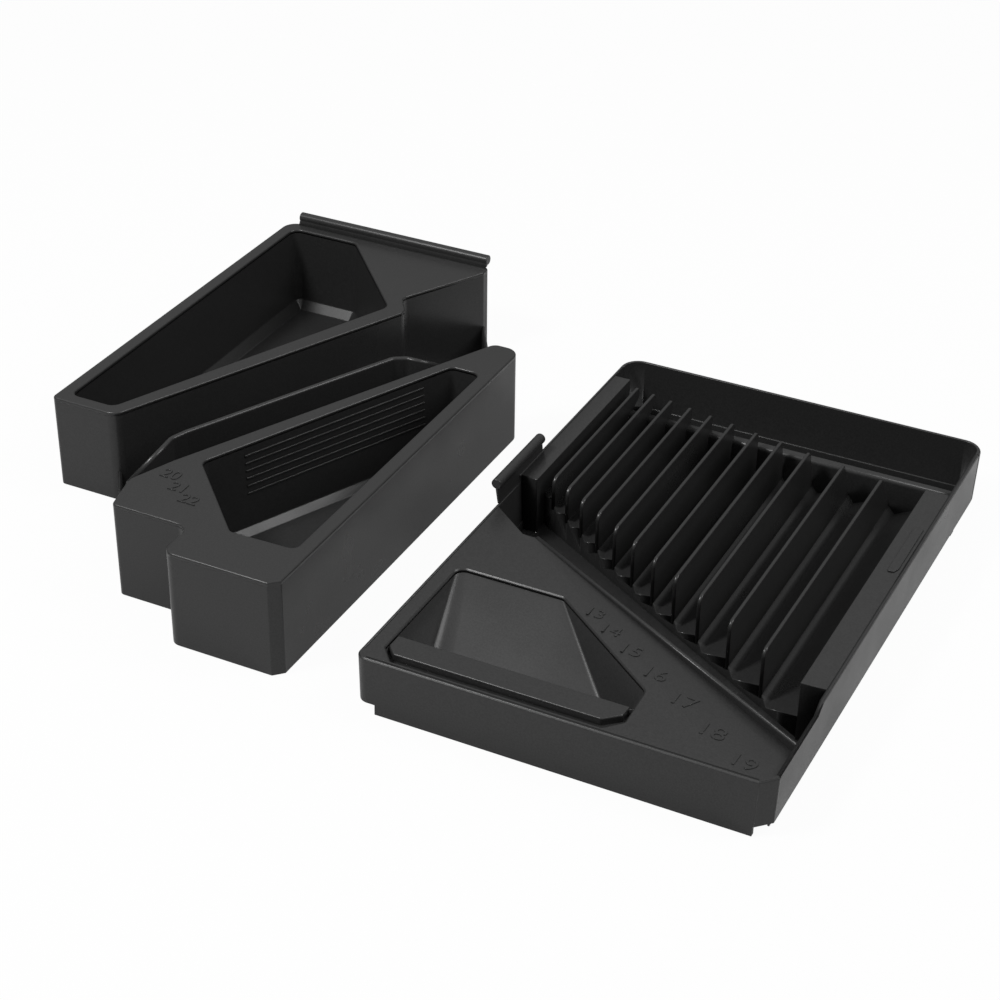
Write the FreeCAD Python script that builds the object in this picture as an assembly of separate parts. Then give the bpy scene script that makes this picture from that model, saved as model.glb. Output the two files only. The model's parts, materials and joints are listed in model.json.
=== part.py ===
"""Wrench tray insert: a deep bottom tray and a shallow top tray, side by side.

Lengths are millimetres, +Z is up. Each tray is drawn in its own plan: x to
the right along its front edge, y to the back, z from the floor.
"""

import FreeCAD, Part
import math
import os

# Common moulding sizes
WALL = 2.2
SHEET = 2.0
EDGE_BREAK = 0.8
CUT_MARGIN = 20.0

# Bottom tray, plan of the rear box
REAR_BOX_FRONT_Y = -4.5
REAR_BOX_REAR_Y = 244.9
REAR_BOX_FRONT_X = 40.9
REAR_BOX_RIGHT_X = 139.4
REAR_BOX_NOSE = (121.8, 172.1)
REAR_BOX_NOTCH = (111.9, 186.0)
REAR_BOX_SIDE = 7.5
REAR_POCKET_RIM = 7.6
REAR_POCKET_FRONT_RIM = 7.5
REAR_POCKET_REAR_RIM = 7.9
REAR_POCKET_FRONT_X = 35.1
REAR_POCKET_NOSE = (110.0, 172.6)
REAR_POCKET_REAR_X = 51.3

# Bottom tray, plan of the front box
FRONT_BOX_LEFT_X = 91.0
FRONT_BOX_STEP_X = 137.0
FRONT_BOX_STEP_Y = -78.9
FRONT_BOX_FRONT_Y = -103.2
FRONT_BOX_RIGHT_X = 202.0
FRONT_BOX_REAR_Y = 160.5
FRONT_BOX_REAR_WIDTH = 16.7
FRONT_BOX_CHAMFER = 5.0
FRONT_BOX_WAIST = (94.9, -29.4)
FRONT_BOX_CHEEK = (85.0, -55.0)
FRONT_POCKET_LEFT = (108.6, -23.5)
FRONT_POCKET_FRONT = (157.0, -72.5)
FRONT_POCKET_RIM = 8.0
FRONT_POCKET_REAR_RIM = 34.5
FRONT_POCKET_REAR_WIDTH = 17.8

# Bottom tray, plan of the wall between the two long slots
RIDGE_FRONT = (86.1, -57.0)
RIDGE_BEND = (81.0, -10.0)
RIDGE_TURN = (84.0, -1.0)
RIDGE_THICKNESS = 3.0

# Last three points of that wall, measured back from the front box's rear corner
RIDGE_FAR_BACK = (43.3, 40.2)
RIDGE_HOOK_BACK = (36.3, 36.1)
RIDGE_END_BACK = (13.8, 35.5)

# Overlap of the end walls of the slots into the two boxes
LEFT_STOP_INTO_REAR = (10.9, 15.3)
LEFT_STOP_INTO_FRONT = (3.5, 0.6)
RIGHT_STOP_INTO_REAR = (4.4, 0.1)
RIGHT_STOP_INTO_FRONT = (5.7, 9.5)

# Bottom tray, heights
DECK_Z = 55.0
REAR_POCKET_FLOOR_Z = 2.8
FRONT_POCKET_FLOOR_Z = 2.2
REAR_POCKET_FOOT = 5.0
FRONT_POCKET_FOOT = 4.0
REAR_POCKET_LEAN = 1.7
FRONT_POCKET_LEAN = 2.6
SLOT_FLOOR_Z = 2.0
END_STOP_Z = 18.5

# Bottom tray, grip lines and rail
RIB_COUNT = 6
RIB_BELOW_DECK = 6.0
RIB_PITCH = 4.5
RIB_HEIGHT = 1.1
RIB_DEPTH = 0.8
RIB_START = 26.0
RIB_STOP = 20.0
RAIL_LEFT_X = 7.5
RAIL_END_GAP = 1.4
RAIL_FOOT_INSET = 2.3
RAIL_FOOT = 2.0
RAIL_BEAD_RADIUS = 2.3
RAIL_BEAD_OUT = 2.5
RAIL_BEAD_UP = 4.5

# Top tray, plan
LEDGE_LEFT_WIDTH = 11.5
LEDGE_RIGHT_WIDTH = 14.9
SLOT_WIDTH = (6.0, 9.0, 9.6, 10.6, 11.4, 12.0, 13.2, 13.5, 15.3, 19.1, 20.7, 23.2)
DIVIDER_THICKNESS = 2.0
DIVIDER_COUNT = len(SLOT_WIDTH) - 1
LEDGE_RIGHT_X = LEDGE_LEFT_WIDTH + sum(SLOT_WIDTH) + DIVIDER_COUNT * DIVIDER_THICKNESS
TRAY_WIDTH = LEDGE_RIGHT_X + LEDGE_RIGHT_WIDTH
TRAY_DEPTH = 322.0
TRAY_DRAFT = 1.0
FRONT_CORNER = 6.0
FRONT_CHAMFER = 7.0
REAR_CORNER = 11.0
FRONT_BAND_Y = 9.0
REAR_BAND = 13.0
REAR_COMPARTMENT = 38.0
REAR_RIDGE_THICKNESS = 5.5
LEDGE_LEFT_FRONT_Y = 176.0
LEDGE_LEFT_REAR = 24.0
LEDGE_RIGHT_FRONT_Y = 72.0
LEDGE_RIGHT_REAR = 60.0
RIGHT_STEP_Y = 57.0
RIGHT_STEP_RUN = 8.0
FOOT_GAP_LEFT = 11.0
FOOT_GAP_RIGHT = 8.5
NUB_LENGTH = 10.0
NUB_THICKNESS = 1.8
NUB_INSET = 1.6
NUB_DROP = 2.0
FRONT_NUB_Y = 22.0

# Top tray, heights
LOW_RIM_Z = 31.0
HIGH_RIM_Z = 35.5
SKIRT_Z = 5.5
SKIRT_FLANGE = 0.7
SKIRT_LAP = 1.5
FLOOR_Z = 2.0
REAR_RIDGE_Z = 25.0

# Top tray, comb of dividers
DIVIDER_TOP_Z = 35.0
DIVIDER_FRONT_Y = 181.4
DIVIDER_FRONT_SLOPE = -0.604
DIVIDER_TIP_OVER = 14.9
DIVIDER_TIP_SLOPE = -0.2
DIVIDER_FRONT_RADIUS = 4.5
DIVIDER_TIP_RADIUS = 2.5
DIVIDER_EDGE = 0.6
FIRST_FOOT_Z = 22.0
SECOND_FOOT_Z = 17.6
FOOT_STEP = 1.45
LOWEST_FOOT_Z = 9.2
TROUGH_DROP = 1.5
TROUGH_DROP_STEP = 0.28
TROUGH_STRIP = 2.2
TROUGH_STRIP_STEP = 0.13
TROUGH_RISE = 0.5

# Top tray, number deck and lip
DECK_EDGE_LEFT = (1.0, 150.0)
DECK_EDGE_FRONT_Y = 1.1
DECK_EDGE_RIGHT_GAP = 17.7
LIP_LEFT_X = 31.9
LIP_LEFT_GAP = 5.8
LIP_RIGHT_Y = 30.4
LIP_RIGHT_OVER = 2.0
LIP_THICKNESS = 2.4
LIP_EDGE = 0.6
NUMBER_DECK_SLOPE = 0.14
NUMBER_DECK_X = 24.0
SIDE_WALL_LOWER = 3.4

# Top tray, small parts pocket
PARTS_LEFT_X = 9.8
PARTS_RIGHT_X = 133.6
PARTS_FRONT_Y = 4.8
PARTS_SIDE_Y = 39.3
PARTS_REAR_Y = 89.9
PARTS_REAR_X = 67.7
PARTS_CORNER = (7.9, 9.3)
SCOOP_FRONT_Y = 26.5
SCOOP_BASE_X = (20.7, 124.0)
SCOOP_BASE_Y = (34.3, 41.0)
SCOOP_CORNER_X = 115.3
SCOOP_FLOOR_Z = 4.0
SHELF_DROP = 1.5
GROOVE_DROP = 5.5
GROOVE_WIDTH = 7.2
SHELF_CORNER = (5.2, 5.5)
SHELF_RIGHT_CORNER = (7.7, 7.0)
SHELF_RIGHT_GAP = 2.4

# Top tray, trim
STRIP_RAISE = 0.8
STRIP_LENGTH = 46.0
STRIP_WIDTH = 5.0
STRIP_INSET = 3.6
STRIP_REAR_GAP = 38.0
HOOK_FRONT_Y = 151.6
HOOK_LENGTH = 53.4
HOOK_OUT = 1.0
HOOK_UP = 12.0
HOOK_BEAD_RADIUS = 2.4

# Placing of the two trays side by side, centred on the shared frame
TRAYS_GAP = 43.5
TRAYS_STEP = 107.0
SET_WIDTH = FRONT_BOX_RIGHT_X + TRAYS_GAP + TRAY_WIDTH
SET_DEPTH = TRAYS_STEP + REAR_BOX_REAR_Y + RAIL_BEAD_OUT + RAIL_BEAD_RADIUS
BOTTOM_TRAY_AT = FreeCAD.Vector(-SET_WIDTH / 2.0, TRAYS_STEP - SET_DEPTH / 2.0, 0.0)
TOP_TRAY_AT = FreeCAD.Vector(SET_WIDTH / 2.0 - TRAY_WIDTH, -SET_DEPTH / 2.0, 0.0)


def vec(x, y, z):
    """One point."""
    return FreeCAD.Vector(x, y, z)


def box(x0, x1, y0, y1, z0, z1):
    """Block between two corners."""
    return Part.makeBox(x1 - x0, y1 - y0, z1 - z0, vec(x0, y0, z0))


def turn_sign(corners):
    """Plus one when the outline runs anticlockwise, minus one when not."""
    area = 0.0
    for i, (x0, y0, r0) in enumerate(corners):
        x1, y1, r1 = corners[(i + 1) % len(corners)]
        area += x0 * y1 - x1 * y0
    return 1.0 if area > 0 else -1.0


def unit(x0, y0, x1, y1):
    """Unit direction from one point to another."""
    length = math.hypot(x1 - x0, y1 - y0)
    return (x1 - x0) / length, (y1 - y0) / length


def inset(corners, distance):
    """Outline moved inwards by a distance, outwards when it is negative."""
    sign = turn_sign(corners)
    moved = []
    for i, (x, y, r) in enumerate(corners):
        xa, ya, ra = corners[i - 1]
        xb, yb, rb = corners[(i + 1) % len(corners)]
        ax, ay = unit(xa, ya, x, y)
        bx, by = unit(x, y, xb, yb)
        cross = (ax * by - ay * bx) * sign
        nx = -(ay + by) * sign
        ny = (ax + bx) * sign
        scale = distance / (1.0 + ax * bx + ay * by)
        radius = r - distance if cross > 0 else r + distance
        moved.append((x + nx * scale, y + ny * scale, max(radius, 0.2)))
    return moved


def outline(corners, z):
    """Closed wire with a rounded arc at each corner."""
    ends = []
    for i, (x, y, r) in enumerate(corners):
        xa, ya, ra = corners[i - 1]
        xb, yb, rb = corners[(i + 1) % len(corners)]
        ax, ay = unit(x, y, xa, ya)
        bx, by = unit(x, y, xb, yb)
        half = math.acos(max(-1.0, min(1.0, ax * bx + ay * by))) / 2.0
        back = r / math.tan(half)
        near = min(math.hypot(xa - x, ya - y), math.hypot(xb - x, yb - y))
        back = min(back, 0.48 * near)
        radius = back * math.tan(half)
        mx, my = unit(0.0, 0.0, ax + bx, ay + by)
        reach = radius / math.sin(half) - radius
        start = vec(x + ax * back, y + ay * back, z)
        middle = vec(x + mx * reach, y + my * reach, z)
        stop = vec(x + bx * back, y + by * back, z)
        ends.append((start, middle, stop))
    edges = []
    for i, (start, middle, stop) in enumerate(ends):
        before = ends[i - 1][2]
        edges.append(Part.makeLine(before, start))
        edges.append(Part.Arc(start, middle, stop).toShape())
    return Part.Wire(edges)


def prism(corners, z0, z1):
    """Upright solid over a rounded outline."""
    face = Part.Face(outline(corners, z0))
    return face.extrude(vec(0, 0, z1 - z0))


def sharp(points):
    """Outline corners with almost no rounding."""
    return [(x, y, 0.25) for x, y in points]


def block(points, z0, z1):
    """Upright solid over a sharp outline."""
    wire = Part.makePolygon([vec(x, y, z0) for x, y in points + points[:1]])
    return Part.Face(wire).extrude(vec(0, 0, z1 - z0))


def outward(solid):
    """The same solid with its faces turned outwards."""
    if solid.Volume < 0:
        solid.reverse()
    return solid


def funnel(levels):
    """Solid through rounded outlines at rising heights."""
    result = None
    for (low, z0), (high, z1) in zip(levels, levels[1:]):
        wires = [outline(low, z0), outline(high, z1)]
        piece = outward(Part.makeLoft(wires, True, True))
        result = piece if result is None else result.fuse(piece)
    return outward(result.removeSplitter())


def across(section, x0, x1):
    """Solid from a section of y, z points drawn out along x."""
    wire = Part.makePolygon([vec(x0, y, z) for y, z in section + section[:1]])
    return Part.Face(wire).extrude(vec(x1 - x0, 0, 0))


def along(section, y0, y1):
    """Solid from a section of x, z points drawn out along y."""
    wire = Part.makePolygon([vec(x, y0, z) for x, z in section + section[:1]])
    return Part.Face(wire).extrude(vec(0, y1 - y0, 0))


def offset_line(p, q, distance):
    """Both ends of a plan line moved to its left."""
    ux, uy = unit(p[0], p[1], q[0], q[1])
    return (
        (p[0] - uy * distance, p[1] + ux * distance),
        (q[0] - uy * distance, q[1] + ux * distance),
    )


def broken_edge_plate(corners, z0, z1):
    """Plate whose top outer edge is broken at 45 degrees."""
    body = prism(corners, z0, z1 - EDGE_BREAK)
    top = funnel([(corners, z1 - EDGE_BREAK), (inset(corners, EDGE_BREAK), z1)])
    return body.fuse(top).removeSplitter()


def rim_cutter(corners, z):
    """Shallow flare that breaks the top edge of an opening."""
    wide = inset(corners, -EDGE_BREAK)
    return funnel([(corners, z - EDGE_BREAK), (wide, z), (wide, z + 1.0)])


# Bottom tray outlines


def rear_box_outline():
    """Outer plan of the rear box."""
    return [
        (0.0, REAR_BOX_FRONT_Y, 3.0),
        (REAR_BOX_FRONT_X, REAR_BOX_FRONT_Y, 8.0),
        (*REAR_BOX_NOSE, 6.0),
        (*REAR_BOX_NOTCH, 6.0),
        (REAR_BOX_RIGHT_X, REAR_BOX_REAR_Y - REAR_BOX_SIDE, 2.0),
        (REAR_BOX_RIGHT_X, REAR_BOX_REAR_Y, 3.0),
        (0.0, REAR_BOX_REAR_Y, 9.0),
    ]


def rear_pocket_outline():
    """Rim of the rear pocket."""
    front = REAR_BOX_FRONT_Y + REAR_POCKET_FRONT_RIM
    rear = REAR_BOX_REAR_Y - REAR_POCKET_REAR_RIM
    return [
        (REAR_POCKET_RIM, front, 5.0),
        (REAR_POCKET_FRONT_X, front, 6.0),
        (*REAR_POCKET_NOSE, 7.0),
        (REAR_POCKET_REAR_X, rear, 6.0),
        (REAR_POCKET_RIM, rear, 6.0),
    ]


def front_box_outline():
    """Outer plan of the front box."""
    return [
        (FRONT_BOX_LEFT_X, FRONT_BOX_STEP_Y, 3.0),
        (FRONT_BOX_STEP_X, FRONT_BOX_STEP_Y, 7.0),
        (FRONT_BOX_STEP_X, FRONT_BOX_FRONT_Y, 6.0),
        (FRONT_BOX_RIGHT_X - FRONT_BOX_CHAMFER, FRONT_BOX_FRONT_Y, 1.0),
        (FRONT_BOX_RIGHT_X, FRONT_BOX_FRONT_Y + FRONT_BOX_CHAMFER, 1.0),
        (FRONT_BOX_RIGHT_X, FRONT_BOX_REAR_Y, 9.0),
        (FRONT_BOX_RIGHT_X - FRONT_BOX_REAR_WIDTH, FRONT_BOX_REAR_Y, 6.0),
        (*FRONT_BOX_WAIST, 8.0),
        (*FRONT_BOX_CHEEK, 6.0),
    ]


def front_pocket_outline():
    """Rim of the front pocket."""
    right = FRONT_BOX_RIGHT_X - FRONT_POCKET_RIM
    rear = FRONT_BOX_REAR_Y - FRONT_POCKET_REAR_RIM
    return [
        (*FRONT_POCKET_LEFT, 6.0),
        (*FRONT_POCKET_FRONT, 4.0),
        (right - 0.2, FRONT_POCKET_FRONT[1] + 1.0, 4.0),
        (right, rear, 5.0),
        (right - FRONT_POCKET_REAR_WIDTH, rear, 5.0),
    ]


def before_corner(back):
    """Plan point measured back from the rear left corner of the front box."""
    return FRONT_BOX_RIGHT_X - FRONT_BOX_REAR_WIDTH - back[0], FRONT_BOX_REAR_Y - back[1]


def ridge_line():
    """Centre line of the divider between the two slots."""
    near = [RIDGE_FRONT, RIDGE_BEND, RIDGE_TURN]
    return near + [before_corner(b) for b in (RIDGE_FAR_BACK, RIDGE_HOOK_BACK, RIDGE_END_BACK)]


def split_line():
    """The same line carried on into the front box at both ends."""
    line = ridge_line()
    first = (FRONT_BOX_LEFT_X + CUT_MARGIN, line[0][1])
    last = (FRONT_BOX_RIGHT_X - WALL, line[-1][1])
    return [first] + line + [last]


def left_stop_line():
    """Centre line of the low wall at the left end of the slots."""
    dx, dy = LEFT_STOP_INTO_REAR
    ex, ey = LEFT_STOP_INTO_FRONT
    start = (REAR_BOX_FRONT_X - dx, REAR_BOX_FRONT_Y + dy)
    return start, (FRONT_BOX_LEFT_X + ex, FRONT_BOX_STEP_Y - ey)


def right_stop_line():
    """Centre line of the low wall at the right end of the slots."""
    dx, dy = RIGHT_STOP_INTO_REAR
    ex, ey = RIGHT_STOP_INTO_FRONT
    start = (REAR_BOX_RIGHT_X - dx, REAR_BOX_REAR_Y + dy)
    return start, before_corner((-ex, ey))


def pocket_levels(corners, floor_z, foot, lean, grow):
    """Outlines of a pocket from its floor to the deck."""
    spread = (DECK_Z - floor_z) / DECK_Z
    low = floor_z - (SHEET if grow else 0.0)
    top = DECK_Z - WALL if grow else DECK_Z
    return [
        (inset(corners, lean * spread + foot - grow), low),
        (inset(corners, lean * spread - grow), low + foot),
        (inset(corners, -grow), top),
    ]


def pocket_space(corners, floor_z, foot, lean):
    """Hollow of a pocket."""
    return funnel(pocket_levels(corners, floor_z, foot, lean, 0.0))


def pocket_shell(corners, floor_z, foot, lean):
    """Moulded wall and floor round a pocket."""
    outer = funnel(pocket_levels(corners, floor_z, foot, lean, SHEET))
    return outer.cut(pocket_space(corners, floor_z, foot, lean))


def box_walls(corners):
    """Outer walls under a deck."""
    outer = prism(corners, 0.0, DECK_Z - WALL)
    return outer.cut(prism(inset(corners, WALL), -1.0, DECK_Z))


def box_deck(corners, pocket, space):
    """Deck with the pocket opening cut from it."""
    plate = broken_edge_plate(corners, DECK_Z - WALL, DECK_Z)
    return plate.cut(space).cut(rim_cutter(pocket, DECK_Z))


def line_band(line, thickness, z0, z1):
    """Upright wall that follows a plan line."""
    left = []
    right = []
    for i, (x, y) in enumerate(line):
        ax, ay = unit(*line[max(i - 1, 0)], *line[max(i, 1)])
        nxt = min(i + 1, len(line) - 1)
        bx, by = unit(*line[nxt - 1], *line[nxt])
        scale = thickness / 2.0 / (1.0 + ax * bx + ay * by)
        nx = -(ay + by) * scale
        ny = (ax + bx) * scale
        left.append((x + nx, y + ny))
        right.append((x - nx, y - ny))
    return block(left + right[::-1], z0, z1)


def slot_ridge():
    """Thin divider between the two long slots, with a rounded top."""
    low = DECK_Z - 0.6 * RIDGE_THICKNESS
    high = DECK_Z - 0.7 / 3.0 * RIDGE_THICKNESS
    line = ridge_line()
    body = line_band(line, RIDGE_THICKNESS, SLOT_FLOOR_Z, low)
    middle = line_band(line, 0.7 * RIDGE_THICKNESS, low, high)
    top = line_band(line, RIDGE_THICKNESS / 3.0, high, DECK_Z)
    return body.fuse(middle).fuse(top)


def slot_region():
    """Plan of the ground between the two boxes."""
    start, stop = offset_line(*left_stop_line(), -WALL / 2.0)
    return [
        start,
        stop,
        (FRONT_BOX_RIGHT_X - 4.0, FRONT_BOX_REAR_Y - 0.5),
        (REAR_BOX_RIGHT_X - 0.4, REAR_BOX_REAR_Y - 4.0),
        (REAR_BOX_RIGHT_X / 2.0, REAR_BOX_REAR_Y / 2.0),
    ]


def slot_floors():
    """Floors of the rear and front slots, each on its side of the divider."""
    ground = block(slot_region(), 0.0, SLOT_FLOOR_Z)
    ground = ground.cut(prism(rear_box_outline(), -1.0, DECK_Z))
    ground = ground.cut(prism(front_box_outline(), -1.0, DECK_Z))
    split = line_band(split_line(), 0.02, -1.0, DECK_Z)
    parts = ground.cut(split).Solids
    parts.sort(key=lambda s: s.Volume, reverse=True)
    return parts[0], parts[1]


def end_stop(p, q):
    """Low rounded wall that closes one end of the slots."""
    a, b = offset_line(p, q, WALL / 2.0)
    d, c = offset_line(p, q, -WALL / 2.0)
    wall = block([a, b, c, d], SLOT_FLOOR_Z, END_STOP_Z - 1.0)
    e, f = offset_line(p, q, WALL / 2.0 - 0.6)
    h, g = offset_line(p, q, 0.6 - WALL / 2.0)
    crown = block([e, f, g, h], END_STOP_Z - 1.0, END_STOP_Z)
    stop = wall.fuse(crown)
    stop = stop.cut(prism(rear_box_outline(), -1.0, DECK_Z))
    stop = stop.cut(prism(front_box_outline(), -1.0, DECK_Z))
    return max(stop.Solids, key=lambda s: s.Volume)


def left_stop():
    """Low wall at the left end of the slots."""
    return end_stop(*left_stop_line())


def right_stop():
    """Low wall at the right end of the slots."""
    return end_stop(*right_stop_line())


def grip_rail():
    """Leaning lip with a round bead along the rear edge."""
    x0, x1 = RAIL_LEFT_X, REAR_BOX_RIGHT_X - RAIL_END_GAP
    foot = REAR_BOX_REAR_Y - RAIL_FOOT_INSET
    y, z = REAR_BOX_REAR_Y + RAIL_BEAD_OUT, DECK_Z + RAIL_BEAD_UP
    lean = [
        (foot, DECK_Z),
        (foot + RAIL_FOOT, DECK_Z),
        (y + 0.5 * RAIL_BEAD_RADIUS, z - 0.7 * RAIL_BEAD_RADIUS),
        (y - 0.3 * RAIL_BEAD_RADIUS, z + 0.7 * RAIL_BEAD_RADIUS),
    ]
    bead = Part.makeCylinder(RAIL_BEAD_RADIUS, x1 - x0, vec(x0, y, z), vec(1, 0, 0))
    return across(lean, x0, x1).fuse(bead)


def pocket_rib(index, space):
    """One fine grip line on the far wall of the front pocket."""
    corners = front_pocket_outline()
    x0, y0, r0 = corners[0]
    x1, y1, r1 = corners[4]
    ux, uy = unit(x0, y0, x1, y1)
    start = (x0 + ux * RIB_START, y0 + uy * RIB_START)
    stop = (x1 - ux * RIB_STOP, y1 - uy * RIB_STOP)
    z1 = DECK_Z - RIB_BELOW_DECK - RIB_PITCH * index
    z0 = z1 - RIB_HEIGHT
    drop = (DECK_Z - z1) / DECK_Z * FRONT_POCKET_LEAN + RIB_DEPTH
    a, b = offset_line(start, stop, CUT_MARGIN)
    d, c = offset_line(start, stop, -drop)
    return block([a, b, c, d], z0, z1).common(space)


def make_bottom_tray():
    """Every piece of the bottom tray."""
    rear = rear_box_outline()
    front = front_box_outline()
    rear_space = pocket_space(
        rear_pocket_outline(), REAR_POCKET_FLOOR_Z, REAR_POCKET_FOOT, REAR_POCKET_LEAN
    )
    front_space = pocket_space(
        front_pocket_outline(), FRONT_POCKET_FLOOR_Z, FRONT_POCKET_FOOT, FRONT_POCKET_LEAN
    )
    rear_floor, front_floor = slot_floors()
    ridge = slot_ridge().cut(prism(front, -1.0, DECK_Z + 1.0))
    nodes = {
        "rear_box_walls": box_walls(rear),
        "rear_box_deck": box_deck(rear, rear_pocket_outline(), rear_space),
        "rear_pocket": pocket_shell(
            rear_pocket_outline(), REAR_POCKET_FLOOR_Z, REAR_POCKET_FOOT, REAR_POCKET_LEAN
        ),
        "front_box_walls": box_walls(front),
        "front_box_deck": box_deck(front, front_pocket_outline(), front_space),
        "front_pocket": pocket_shell(
            front_pocket_outline(), FRONT_POCKET_FLOOR_Z, FRONT_POCKET_FOOT, FRONT_POCKET_LEAN
        ),
        "rear_slot_floor": rear_floor,
        "front_slot_floor": front_floor,
        "slot_ridge": ridge,
        "left_end_stop": left_stop(),
        "right_end_stop": right_stop(),
        "grip_rail": grip_rail(),
    }
    for index in range(RIB_COUNT):
        nodes["pocket_rib_%02d" % (index + 1)] = pocket_rib(index, front_space)
    return nodes


# Top tray


def tray_outline(grow_x, front_y):
    """Outer plan of the top tray."""
    right = TRAY_WIDTH - grow_x
    rear = TRAY_DEPTH - grow_x
    return [
        (grow_x, front_y, FRONT_CORNER),
        (right - FRONT_CHAMFER, front_y, 1.0),
        (right, front_y + FRONT_CHAMFER, 1.0),
        (right, rear, REAR_CORNER),
        (grow_x, rear, REAR_CORNER),
    ]


def outer_shape(top):
    """Flared solid of the whole top tray up to a rim height."""
    share = top / HIGH_RIM_Z
    foot = tray_outline(TRAY_DRAFT, 0.0)
    shoulder = tray_outline(TRAY_DRAFT * (1.0 - share), 0.8 * share)
    body = funnel([(foot, 0.0), (shoulder, top - EDGE_BREAK)])
    crown = funnel([(shoulder, top - EDGE_BREAK), (inset(shoulder, EDGE_BREAK), top)])
    return body.fuse(crown)


def inner_shape(thickness):
    """Hollow inside walls of one thickness."""
    foot = inset(tray_outline(TRAY_DRAFT, 0.0), thickness)
    top = inset(tray_outline(0.0, 0.8), thickness)
    return funnel([(foot, 0.0), (top, HIGH_RIM_Z)])


def wall_ring(top, hollow):
    """Closed ring of outer wall up to a rim height."""
    return outer_shape(top).cut(hollow)


def ridge_y():
    """Front and rear faces of the cross wall behind the comb."""
    rear = TRAY_DEPTH - REAR_COMPARTMENT
    return rear - REAR_RIDGE_THICKNESS, rear


def ledge_y(right):
    """Front and rear ends of one ledge."""
    if right:
        return LEDGE_RIGHT_FRONT_Y, TRAY_DEPTH - LEDGE_RIGHT_REAR
    return LEDGE_LEFT_FRONT_Y, TRAY_DEPTH - LEDGE_LEFT_REAR


def zone(y0, y1, z0, z1):
    """Block across the whole tray, for trimming."""
    return box(-CUT_MARGIN, TRAY_WIDTH + CUT_MARGIN, y0, y1, z0, z1)


def skirt_flange(hollow, y0, y1):
    """Thin flange that carries the outer wall down to a floor."""
    ring = hollow.cut(inner_shape(WALL + SKIRT_FLANGE))
    return ring.common(zone(y0, y1, FLOOR_Z, SKIRT_Z + SKIRT_LAP))


def front_wall(hollow):
    """Front wall; its two ends stop above the floor."""
    ring = wall_ring(LOW_RIM_Z, hollow)
    wall = ring.common(zone(-CUT_MARGIN, FRONT_BAND_Y, 0.0, LOW_RIM_Z))
    low = zone(-CUT_MARGIN, CUT_MARGIN, -1.0, SKIRT_Z)
    inner = box(FOOT_GAP_LEFT, TRAY_WIDTH - FOOT_GAP_RIGHT, -CUT_MARGIN, CUT_MARGIN, -1.0, SKIRT_Z)
    return wall.cut(low.cut(inner))


def left_wall(hollow, ledge):
    """Left wall, low in front and high beside the ledge."""
    split = ledge_y(False)[0]
    rear = TRAY_DEPTH - REAR_BAND
    half = TRAY_WIDTH / 2.0
    low = wall_ring(LOW_RIM_Z, hollow)
    high = wall_ring(HIGH_RIM_Z, hollow)
    low = low.common(box(-CUT_MARGIN, half, FRONT_BAND_Y, split, SKIRT_Z, LOW_RIM_Z))
    high = high.common(box(-CUT_MARGIN, half, split, rear, SKIRT_Z, HIGH_RIM_Z))
    side = box(-CUT_MARGIN, half, 0.0, rear, 0.0, HIGH_RIM_Z)
    flange = skirt_flange(hollow, edge_point(WALL)[1], split)
    flange = flange.fuse(skirt_flange(hollow, ridge_y()[1], rear).cut(ledge))
    return low.fuse(high).fuse(flange.common(side)).removeSplitter()


def right_wall(hollow, lip):
    """Right wall, low in front, with a ramp up to the high rim."""
    x0, x1 = TRAY_WIDTH / 2.0, TRAY_WIDTH + CUT_MARGIN
    rear = TRAY_DEPTH - REAR_BAND
    high = wall_ring(HIGH_RIM_Z, hollow)
    wall = high.common(box(x0, x1, FRONT_BAND_Y, rear, SKIRT_Z, HIGH_RIM_Z))
    y0 = RIGHT_STEP_Y
    y1 = y0 + RIGHT_STEP_RUN
    top = HIGH_RIM_Z + 1.0
    over = [(0.0, LOW_RIM_Z), (y0, LOW_RIM_Z), (y1, top), (y1, 2.0 * top), (0.0, 2.0 * top)]
    wall = wall.cut(across(over, x0, x1))
    flange = skirt_flange(hollow, lip.BoundBox.YMin, ledge_y(True)[0]).cut(lip)
    flange = flange.fuse(skirt_flange(hollow, ledge_y(True)[1], ridge_y()[0]))
    flange = flange.fuse(skirt_flange(hollow, ridge_y()[1], rear))
    wall = wall.fuse(flange.common(box(x0, x1, 0.0, rear, 0.0, HIGH_RIM_Z)))
    x1 = TRAY_WIDTH - NUB_INSET
    x0 = x1 - NUB_THICKNESS
    y1 = ledge_y(True)[1]
    low = SKIRT_Z - NUB_DROP
    nubs = box(x0, x1, FRONT_NUB_Y, FRONT_NUB_Y + NUB_LENGTH, low, SKIRT_Z)
    nubs = nubs.fuse(box(x0, x1, y1 - NUB_LENGTH, y1, low, SKIRT_Z))
    return wall.fuse(nubs)


def rear_wall(hollow):
    """Rear wall with both rear corners."""
    y0, y1 = TRAY_DEPTH - REAR_BAND, TRAY_DEPTH + CUT_MARGIN
    ring = wall_ring(HIGH_RIM_Z, hollow).common(zone(y0, y1, SKIRT_Z, HIGH_RIM_Z))
    return ring.fuse(skirt_flange(hollow, y0, y1))


def rear_ridge(hollow):
    """Cross wall between the slots and the rear compartment."""
    y0, y1 = ridge_y()
    top = REAR_RIDGE_Z
    e = EDGE_BREAK
    section = [(y0, 0.0), (y1, 0.0), (y1, top - e), (y1 - e, top), (y0 + e, top), (y0, top - e)]
    return across(section, -CUT_MARGIN, TRAY_WIDTH + CUT_MARGIN).common(hollow)


def rear_floor(hollow):
    """Floor of the rear compartment."""
    return zone(ridge_y()[1], TRAY_DEPTH + CUT_MARGIN, 0.0, FLOOR_Z).common(hollow)


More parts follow.
